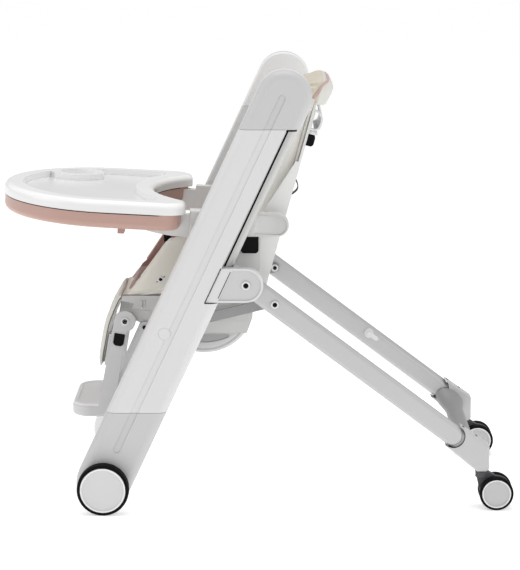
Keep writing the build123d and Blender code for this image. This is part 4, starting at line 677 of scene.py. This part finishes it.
# Back cushion: crowned pad folded over the top of the shell, with a pink band on the seam of its fold
backPad = {
    "voxel": 0.0047, "rounds": 4, "inset": 0.0022, "skinInset": 0.0006, "pressure": 4.0,
    "pocketBehind": (43.0, 3.0), "pocketTop": (456.0, -18.0),
    "middle": 7.0, "quilt": 4.0, "seams": (125.0, 224.0, 323.0), "seamWide": 5.0, "seamHalf": (96.0, -10.0),
    "border": 98.0, "borderWide": 4.5, "borderShare": 0.8,
    "borderLow": (50.0, 20.0), "borderHigh": (405.0, -20.0),
    "gathers": 2.3, "gatherAt": 452.0, "gatherWide": 16.0, "gatherFront": (44.0, -12.0),
    "gatherPitch": 2.6, "gatherWave": (5.0, 31.0),
    "crestDrop": 7.0, "dropFront": (38.0, -22.0), "dropAbove": (425.0, 30.0),
    "foldAt": (46.0, -4.0), "paleSide": (104.0, 8.0), "paleBelow": (412.0, -14.0),
    "weltRadius": 2.8, "weltPlace": (36.9, 124.6), "weltSpan": (34.0, 424.0),
    "bandWide": 7.0, "bandThick": 1.6, "bandLift": (0.2, 0.5),
    "bandRoute": [
        (41, 404, -126), (42, 425, -126), (46, 446, -118), (53, 462, -90), (58, 470, -40), (59, 471, 0),
    ],
}


def buildBack():
    s = backPad
    piece, skin = cushionFrom("back_cushion", "backCushion", s, backVinyl)
    origin = np.array(joints["recline"]["pos_m"])
    up = np.array(joints["recline_squeeze"]["axis"])
    rear = np.array([up[2], 0, -up[0]])
    # the pocket behind the shell is too thin to soften and keeps the shape of its solid
    p = skin - origin
    kept = fade(p @ rear / mm, *s["pocketBehind"]) * fade(p @ up / mm, *s["pocketTop"])
    setCoordinates(piece, coordinates(piece) + kept[:, None] * (skin - coordinates(piece)))
    # sewn channels: cross seams down the middle field inside two upright ones, and gathers below the crest
    p = coordinates(piece) - origin
    height = p @ up / mm
    behind = p @ rear / mm
    across = np.abs(p[:, 1]) / mm
    gap = np.abs(height[:, None] - np.array(s["seams"])).min(1)
    seams = s["quilt"] * np.exp(-((gap / s["seamWide"]) ** 2)) * fade(across, *s["seamHalf"])
    upright = fade(height, *s["borderLow"]) * fade(height, *s["borderHigh"])
    beside = (across - s["border"]) / s["borderWide"]
    border = s["borderShare"] * s["quilt"] * np.exp(-(beside**2)) * upright
    crest = np.exp(-(((height - s["gatherAt"]) / s["gatherWide"]) ** 2)) * fade(behind, *s["gatherFront"])
    sway, length = s["gatherWave"]
    gathers = s["gathers"] * (1 + np.sin(height / s["gatherPitch"] + sway * np.sin(across / length))) * crest
    press(piece, mm * (np.maximum(seams, border) * (behind < s["middle"]) + gathers))
    # the front of the crest falls away; the sides are painted paler than the front, painted light where the post
    # and the shell shade them
    drop = s["crestDrop"] * fade(behind, *s["dropFront"]) * fade(height, *s["dropAbove"])
    setCoordinates(piece, coordinates(piece) - mm * drop[:, None] * up)
    mark(piece, "lining", step(behind, *s["foldAt"]))
    mark(piece, "pale", fade(across, *s["paleSide"]) * fade(height, *s["paleBelow"]))
    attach(refine(piece), "backrest")
    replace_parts(piece, "back_cushion")
    for name, turn in bothSides:
        # welt where the side meets the rear panel, against the shell
        line = onBack(s["weltPlace"][0], np.linspace(*s["weltSpan"], 60), turn * s["weltPlace"][1])
        welt = tube(f"{name}BackWelt", line, s["weltRadius"] * mm, pipingCream)
        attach(welt, "backrest")
    # band along the fold from side to side, laid on the cover twice so that it stays on it when evened
    route = np.array(s["bandRoute"] + [(b, a, -c) for b, a, c in s["bandRoute"][-2::-1]], float)
    path, _ = laidOn(piece, onBack(*smoothPath(route, 140).T), s["bandLift"][0] * mm)
    path, normals = laidOn(piece, evened(path, 14), s["bandLift"][1] * mm)
    path, normals = evened(path, 3), evened(normals, 12)
    level = levelWith(path, normals)
    band = ribbon("backBand", path, level, s["bandWide"] * mm, s["bandThick"] * mm, pipingPink)
    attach(band, "backrest")


# Calf pad: one padded panel from the front of the seat down in front of the footrest arms
calfPad = {
    "half": 104.0, "thick": 9.5, "thin": 7.0, "thinFrom": (0.75, -0.2),
    "voxel": 0.0045, "pressure": 4.0, "cap": 0.003,
    "endPower": 9, "endThin": 0.05, "sidePower": 8, "sideThin": 0.06, "bendDrop": 2.0,
    "weltRadius": 0.9, "weltShare": 0.3, "weltShort": 4, "weltLift": 0.2,
    "spine": [(-30, -108), (-30.5, -60), (-29.5, -20), (-25, 8), (-17, 36), (-9, 56)],
}


def buildCalf():
    s = calfPad
    behind, along = np.array(s["spine"], float).T
    spine = smoothPath(onCalf(behind, along, 0)[:, [0, 2]], 70)
    way = np.gradient(spine, axis=0)
    way /= np.linalg.norm(way, axis=1)[:, None]
    front = np.stack([-way[:, 1], way[:, 0]], -1)
    t = np.linspace(0, 1, len(spine))
    full = s["thin"] + (s["thick"] - s["thin"]) * fade(t, *s["thinFrom"])
    thick = mm * full * np.sqrt(np.clip(1 - np.abs(2 * t - 1) ** s["endPower"], s["endThin"], 1))
    loop = np.vstack([spine + front * thick[:, None], spine[::-1]])
    # loop carried across, drawn in to a thin edge at both sides
    v = np.linspace(-1, 1, 49)[:, None]
    y = mm * s["half"] * np.sin(v * np.pi / 2)
    edge = np.sqrt(np.clip(1 - np.abs(v) ** s["sidePower"], s["sideThin"], 1))[..., None]
    base = np.vstack([spine, spine[::-1]])
    section = base[None] + (loop - base)[None] * edge
    grid = np.stack(np.broadcast_arrays(section[..., 0], y, section[..., 1]), -1)
    rows, cols = grid.shape[:2]
    faces = gridFaces(rows, cols, closeCols=True).tolist()
    faces += [np.arange(cols).tolist(), (np.arange(cols) + (rows - 1) * cols)[::-1].tolist()]
    piece = outward(pieceFrom("calfPad", grid, faces, calfVinyl))
    swell(skinOf(piece, s["voxel"]), s["pressure"], s["cap"])
    refine(piece)
    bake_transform(piece)
    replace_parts(piece, "calf_pad")
    # dark welt down each side
    line = (spine + front * thick[:, None] * s["weltShare"])[s["weltShort"]:-s["weltShort"]]
    for name, turn in bothSides:
        path = np.stack([line[:, 0], np.full(len(line), turn * s["half"] * mm), line[:, 1]], -1)
        path, _ = laidOn(piece, path, s["weltLift"] * mm)
        welt = tube(f"{name}CalfWelt", evened(path), s["weltRadius"] * mm, weltGrey)
        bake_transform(welt)


buildSeat()
buildBack()
buildCalf()
print("cushions made")


# Harness
harness = {
    "width": 25.0, "thick": 1.8, "spread": 92.0, "span": (332.0, 78.0),
    "frontAt": -30.5, "crown": 16.0, "crownHalf": 116.0, "wave": (0.9, 31.0), "tuck": (16.0, 9.0, 3.0, 1.0),
    "crotchEnds": (6.0, 8.0), "crotchBow": 2.0,
    "rearSpan": (332.0, 26.0), "rearAt": 47.0,
    "loopLow": 205.0, "loopHigh": 247.0, "loopOut": 13.0, "loopPower": 1.2,
}


def strap(name, path):
    s = harness
    return ribbon(name, path, sideways, s["width"] * mm, s["thick"] * mm, finishes["strap_black"])


def buildHarness():
    s = harness
    straps = []
    for turn in (-1, 1):
        # lies on the crown of the cushion in a slow wave, its top tucked into the slot
        across = turn * s["spread"] / 2
        along = np.linspace(*s["span"], 60)
        size, length = s["wave"]
        behind = s["frontAt"] + s["crown"] * (across / s["crownHalf"]) ** 2 + size * np.sin(along / length)
        behind[:len(s["tuck"])] += s["tuck"]
        straps.append(strap(f"strap{turn}", onBack(behind, along, across)))
    shoulders = joined("shoulderStraps", straps)
    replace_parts(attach(shoulders, "backrest"), "shoulder_straps")
    low, high = (np.array(corner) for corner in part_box("crotch_strap"))
    below, above = s["crotchEnds"]
    z = np.linspace(low[2] - below * mm, high[2] + above * mm, 30)
    x = (low[0] + high[0]) / 2 - s["crotchBow"] * mm * np.sin(np.linspace(0, np.pi, 30))
    crotch = strap("crotchStrap", np.stack([x, 0 * z, z], -1))
    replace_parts(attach(crotch, "seat"), "crotch_strap")
    # rear strap hangs from its adjuster and stands off the shell in one slack fold
    along = np.linspace(*s["rearSpan"], 120)
    middle, reach = (s["loopLow"] + s["loopHigh"]) / 2, (s["loopHigh"] - s["loopLow"]) / 2
    bulge = np.clip(1 - np.abs(along - middle) / reach, 0, 1)
    behind = s["rearAt"] + s["loopOut"] * np.sin(bulge * np.pi / 2) ** s["loopPower"]
    rear = strap("rearStrap", onBack(behind, along, 0.0))
    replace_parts(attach(rear, "backrest"), "rear_strap")


buildHarness()
print("harness made")


# Screws, caps and thin trim
screw = {
    "radius": 4.2, "dome": 1.5, "slot": 0.85, "reach": 2.7, "depth": 1.3, "base": -1.0,
    "rings": 26, "sides": 96, "turnedBy": 0.5, "pole": 0.02, "rim": 1.02,
}


def screwHeads(name, spots, axes, body, radius=1.0):
    # dome over a disc; the cross recess is cut where either cross coordinate is small near the middle
    s = screw
    size = s["radius"] * radius
    rings, sides = s["rings"], s["sides"]
    r = np.linspace(s["pole"], 1, rings)[:, None]
    turn = np.linspace(0, 2 * np.pi, sides, endpoint=False)[None, :] + s["turnedBy"]
    a, b = size * r * np.cos(turn), size * r * np.sin(turn)
    cross = np.minimum(np.abs(a), np.abs(b)) < s["slot"] * radius
    inside = np.maximum(np.abs(a), np.abs(b)) < s["reach"] * radius
    lift = s["dome"] * radius * np.sqrt(s["rim"] - r**2) - s["depth"] * radius * (cross & inside)
    lift = np.vstack([lift, np.full((1, sides), s["base"])])
    a, b = np.vstack([a, a[-1:]]), np.vstack([b, b[-1:]])
    pieces = []
    for index, (spot, axis) in enumerate(zip(spots, axes)):
        axis = np.asarray(axis, float)
        first, second = squareTo(axis)
        shift = a[..., None] * first + b[..., None] * second + lift[..., None] * axis
        points = np.asarray(spot) + mm * shift
        faces = gridFaces(*points.shape[:2], closeCols=True).tolist()
        faces += [np.arange(sides).tolist(), (np.arange(sides) + sides * rings).tolist()]
        pieces.append(outward(pieceFrom(f"{name}{index}", points, faces, screwDark)))
    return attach(joined(name, pieces), body)


def whiteCap(name, spot, axis, body, radius, thick):
    # ring with a rounded rim and a shallow well for the screw
    profile = np.array([
        (0.3, -0.4), (radius, -0.4), (radius, thick * 0.5), (radius * 0.93, thick),
        (radius * 0.66, thick), (radius * 0.60, 0.0), (0.3, 0.0),
    ]) * mm
    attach(turned(name, profile, spot, axis, finishes["arm_white"]), body)


def nodeCentre(node, y):
    low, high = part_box(node)
    return np.array([(low[0] + high[0]) / 2, y, (low[2] + high[2]) / 2])


def circle(centre, radius):
    # points of a circle that stands square to the sideways direction
    turn = np.linspace(0, 2 * np.pi, 72, endpoint=False)
    return np.asarray(centre) + radius * np.stack([np.cos(turn), 0 * turn, np.sin(turn)], -1)


trim = {
    "pivotCap": 8.8, "braceCap": 7.8, "capThick": 1.4,
    "pivotScrew": 1.15, "braceScrew": 1.05, "hubScrew": 1.25, "footScrew": 0.8,
    "bossPlace": (40.0, 113.2, -13.0), "footScrews": (0.421, 0.4475),
    "wheelRing": 1.7, "casterRing": 1.25, "ringSunk": 0.6,
    "jointRadius": 1.3, "jointOff": 1.5, "jointFrom": 0.1,
    "seamFront": (-0.523, 0.6225), "seamMiddle": -0.34, "seamRadius": 0.8,
    "lineThick": 0.9,
    # painted shadow lines: along the cover's rear edge, under the cap, and round the bracket
    "lines": [
        ("CoverLine", "post_rail", 3.6, (-0.0614, 0.5012), (0.0638, 0.7707)),
        ("CapGap", "post_rail", 3.4, (0.0600, 0.7722), (0.0822, 0.7722)),
        ("BracketLine", "post_cover", 1.4, (-0.1010, 0.4310), (-0.0685, 0.5010)),
        ("BracketFoot", "post_cover", 1.6, (-0.1010, 0.4303), (-0.0750, 0.4303)),
        ("PanelLine", "leg_bracket", 1.4, (-0.0741, 0.4403), (-0.0493, 0.4936)),
    ],
}
tones = {
    "bracketPanel": (257.0, 0.3), "bellyPanel": (89.0, 1.3), "armEnd": (0.0, 0.19, 0.53),
    "plateTop": (0.186, 0.1915),
    "trayWall": 1.6, "floorFacing": 0.95, "floorDrop": 6.0, "shellPale": 0.74,
}


def buildJoint(side, turn):
    # dark joint round the mouth of the rear foot: lines along the leg, just outside its tube, meet the rim
    s = trim
    fall = math.radians(legFall)
    along = np.array([math.cos(fall), 0, -math.sin(fall)])
    over = np.array([math.sin(fall), 0, math.cos(fall)])
    low, high = (np.array(corner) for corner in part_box(f"{side}_leg_tube"))
    leg, foot = surfaceOf(nodes[f"{side}_leg_tube"]), surfaceOf(nodes[f"{side}_rear_foot"])
    middle = (low + high) / 2
    path = []
    for angle in np.linspace(0, 2 * np.pi, 72, endpoint=False):
        way = math.cos(angle) * over + math.sin(angle) * sideways
        wall = leg.ray_cast(Vector(middle + s["jointFrom"] * way), Vector(-way))[0]
        rim = foot.ray_cast(Vector(np.array(wall) + s["jointOff"] * mm * way), Vector(along))[0]
        if rim:
            path.append(np.array(rim))
    black = finishes["slider_black"]
    ring = tube(f"{side}FootJoint", path, s["jointRadius"] * mm, black, sides=8, closed=True)
    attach(ring, "rear_legs")


def darkLine(name, node, wide, start, end, turn):
    # thin dark strip laid on the outer face of a post along a straight route: a painted shadow line in a gap or at
    # a step
    share = np.linspace(0, 1, 40)[:, None]
    places = np.array(start) + share * (np.array(end) - np.array(start))
    found = [outerPoint(nodes[node], x, z, turn) for x, z in places]
    path, normals = (np.array(column) for column in zip(*found))
    level = levelWith(path, normals)
    strip = ribbon(name, path, level, wide * mm, trim["lineThick"] * mm, finishes["button_black"])
    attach(strip, "frame")


def buildRings(side, turn):
    # bright ring round each wheel disc, a raised rim coloured white as a painted highlight: on the outer face of a
    # front wheel, on both faces of a caster's pair
    s = trim
    for label, node, body, ring in (("Wheel", "front_wheel", "wheel", s["wheelRing"]),
                                    ("Caster", "caster_discs", "caster_pair", s["casterRing"])):
        low, high = (np.array(corner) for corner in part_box(f"{side}_{node}"))
        centre, reach = (low + high) / 2, (high[0] - low[0]) / 2
        outer = low[1] if turn < 0 else high[1]
        rings = []
        for index, y in enumerate((low[1], high[1]) if label == "Caster" else (outer,)):
            sunk = s["ringSunk"] * mm * np.sign(centre[1] - y)
            path = circle((centre[0], y + sunk, centre[2]), reach - (ring + s["ringSunk"]) * mm)
            rings.append(tube(f"{side}{label}Ring{index}", path, ring * mm, ringWhite, closed=True))
        rings = joined(f"{side}{label}Ring", rings) if len(rings) > 1 else rings[0]
        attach(rings, f"{side}_{body}")


def buildSide(side, turn):
    s = trim
    facing = (0, turn, 0)
    pivot = nodeCentre("leg_pivots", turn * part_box("leg_pivots")[1][1])
    whiteCap(f"{side}PivotCap", pivot, facing, "frame", s["pivotCap"], s["capThick"])
    screwHeads(f"{side}PivotScrew", [pivot], [facing], "frame", radius=s["pivotScrew"])
    rivet = nodeCentre("brace_rivets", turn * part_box("brace_rivets")[1][1])
    whiteCap(f"{side}BraceCap", rivet, facing, "rear_legs", s["braceCap"], s["capThick"])
    reach = np.abs(coordinates(nodes["brace_rivets"])[:, 1])
    inner = nodeCentre("brace_rivets", turn * reach.min())
    ways = [facing, (0, -turn, 0)]
    screwHeads(f"{side}BraceScrew", [rivet, inner], ways, "rear_legs", radius=s["braceScrew"])
    pin = nodeCentre("footrest_pins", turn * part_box("footrest_pins")[1][1])
    screwHeads(f"{side}HubScrew", [pin], [facing], "seat", radius=s["hubScrew"])
    dx, dy, dz = s["bossPlace"]
    boss = np.array([hub[0] + dx * mm, turn * dy * mm, hub[2] + dz * mm])
    screwHeads(f"{side}StrutScrew", [boss], [facing], "footrest")
    # two screws in the sloping top of the rear foot
    foot = surfaceOf(nodes[f"{side}_rear_foot"])
    y = turn * (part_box("right_rear_foot")[0][1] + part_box("right_rear_foot")[1][1]) / 2
    found = [foot.ray_cast(Vector((x, y, farOut)), Vector((0, 0, -1))) for x in s["footScrews"]]
    spots, axes = [np.array(f[0]) for f in found], [np.array(f[1]) for f in found]
    screwHeads(f"{side}FootScrews", spots, axes, "rear_legs", radius=s["footScrew"])
    buildRings(side, turn)
    for label, node, wide, start, end in s["lines"]:
        darkLine(f"{side}{label}", f"{side}_{node}", wide, start, end, turn)
    buildJoint(side, turn)


def buildSeam():
    # dark joint under the rim of the tray top: level lines meet the base's wall all round
    s = trim
    normal = np.array(joints["tray_lift"]["axis"])
    along = np.cross(sideways, normal)
    start = np.array([s["seamFront"][0], 0, s["seamFront"][1]])
    centre = start + along * (s["seamMiddle"] - s["seamFront"][0]) / along[0]
    wall = surfaceOf(nodes["tray_base"])
    path = []
    for turn in np.linspace(0, 2 * np.pi, 240, endpoint=False):
        way = math.cos(turn) * along + math.sin(turn) * sideways
        place = wall.ray_cast(Vector(centre + way), Vector(-way))[0]
        if place:
            path.append(np.array(place))
    black = finishes["slider_black"]
    seam = tube("traySeam", evened(path, 2), s["seamRadius"] * mm, black, sides=8, closed=True)
    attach(seam, "tray")


def markPanel(node, out, spread):
    # second tone on the faces that lie at one distance from the middle plane
    mark(nodes[node], "second", np.abs(np.abs(coordinates(nodes[node])[:, 1]) / mm - out) < spread)


def markTones():
    s = tones
    for side, turn in bothSides:
        # post caps and feet are painted paler on their inner side, painted light where the rest of the chair
        # shades them; the sunk panel of the bracket is darker
        for node in (f"{side}_post_cap", f"{side}_post_foot"):
            low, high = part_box(node)
            middle = (low[1] + high[1]) / 2
            mark(nodes[node], "second", (coordinates(nodes[node])[:, 1] - middle) * turn < 0)
        markPanel(f"{side}_leg_bracket", *s["bracketPanel"])
        # greyer end of the arm, greyer discs of the caster
        arm, discs = nodes[f"{side}_seat_arm"], nodes[f"{side}_caster_discs"]
        x, y, z = coordinates(arm).T
        rear, out, low = s["armEnd"]
        mark(arm, "second", (x > rear) & (np.abs(y) > out) & (z > low))
        mark(discs, "second", np.ones(len(discs.data.vertices)))
    # sunk side panel of the belly painted darker: painted shade in the recess
    markPanel("seat_belly", *s["bellyPanel"])
    # top of the foot plate painted pale and cool: painted light against the shade of the tray and calf pad, and
    # against the pink reflection of the tray
    z = coordinates(nodes["footrest_frame"])[:, 2]
    low, high = s["plateTop"]
    mark(nodes["footrest_frame"], "second", (z > low) & (z < high))
    # the tray top's outer wall and the floor of its recess are painted a little greyer than its rim: painted shade
    # on the upright walls and on the sunk floor
    tray = nodes["tray_top"]
    points, normals = coordinates(tray), normalsOf(tray)
    facing, rise = (values @ np.array(joints["tray_lift"]["axis"]) for values in (normals, points))
    outer = ((points - points.mean(0)) * normals).sum(1) > 0
    mark(tray, "second", np.clip(1 - s["trayWall"] * np.abs(facing), 0, 1) * outer)
    mark(tray, "third", (facing > s["floorFacing"]) & (rise < rise.max() - s["floorDrop"] * mm))
    # the lower shell is painted paler than its top edge: painted light where the near post shades it
    mark(nodes["back_shell"], "third", coordinates(nodes["back_shell"])[:, 2] < s["shellPale"])


for sideName, sideTurn in bothSides:
    buildSide(sideName, sideTurn)
buildSeam()
markTones()
print("screws and trim set")


# Stage, light and camera
stageSet = {
    "floor": grey(0.90), "floorHalf": 30.0, "glow": 0.50, "world": 0.55, "aim": (0, 0, 0.45),
    "lights": {
        "key": ((-2.2, -3.2, 3.6), 2.4, 13.0),
        "fill": ((2.6, -3.4, 2.0), 2.4, 11.0),
        "top": ((0.0, 0.3, 3.8), 3.0, 54.0),
        "front": ((-3.6, -0.9, 1.5), 2.4, 19.0),
        "rear": ((3.6, -0.9, 1.7), 2.4, 19.0),
    },
}
cameraSet = {
    "place": (0.0370, -4.6692, 1.2714), "yaw": -0.00626, "pitch": 0.1803,
    "focal": 2256.6, "frameHeight": 570.0, "sensor": 36.0, "farEnd": 60.0,
}


def buildStage():
    s = stageSet
    # one wide level floor, a little brighter than its light alone would make it
    u = np.linspace(-s["floorHalf"], s["floorHalf"], 3)
    grid = np.stack(np.broadcast_arrays(u[:, None], u[None, :], 0.0), -1)
    material, wire, bsdf = newMaterial("studioFloor")
    drift = noise(wire, wire.add("TexCoord", out=3), 1.5, 2.0)
    feed(wire.tree, bsdf, {
        "Base Color": wire.mix(drift, shade(s["floor"], 0.99), shade(s["floor"], 1.01)), "Roughness": 0.8,
        "Specular IOR Level": 0.1, "Emission Color": (1, 1, 1, 1), "Emission Strength": s["glow"],
    })
    floor = pieceFrom("studioFloor", grid, gridFaces(*grid.shape[:2]), material)
    world = bpy.data.worlds.new("studio")
    bpy.context.scene.world = world
    world.use_nodes = True
    world.node_tree.nodes["Background"].inputs[0].default_value = (1, 1, 1, 1)
    world.node_tree.nodes["Background"].inputs[1].default_value = s["world"]
    for name, (place, size, power) in s["lights"].items():
        lamp = bpy.data.lights.new(name, "AREA")
        lamp.shape, lamp.size, lamp.energy = "DISK", size, power
        light = bpy.data.objects.new(name, lamp)
        light.location = place
        light.rotation_euler = (Vector(s["aim"]) - Vector(place)).to_track_quat("-Z", "Y").to_euler()
        bpy.context.scene.collection.objects.link(light)


def buildCamera():
    s = cameraSet
    lens = bpy.data.cameras.new("camera")
    lens.sensor_fit, lens.sensor_height = "VERTICAL", s["sensor"]
    lens.lens = s["focal"] / s["frameHeight"] * s["sensor"]
    lens.clip_end = s["farEnd"]
    camera = bpy.data.objects.new("camera", lens)
    camera.location = s["place"]
    level = math.cos(s["pitch"])
    ahead = Vector((math.sin(s["yaw"]) * level, math.cos(s["yaw"]) * level, -math.sin(s["pitch"])))
    camera.rotation_euler = ahead.to_track_quat("-Z", "Y").to_euler()
    bpy.context.scene.collection.objects.link(camera)
    bpy.context.scene.camera = camera


buildStage()
buildCamera()
bpy.context.scene.view_settings.view_transform = "Standard"
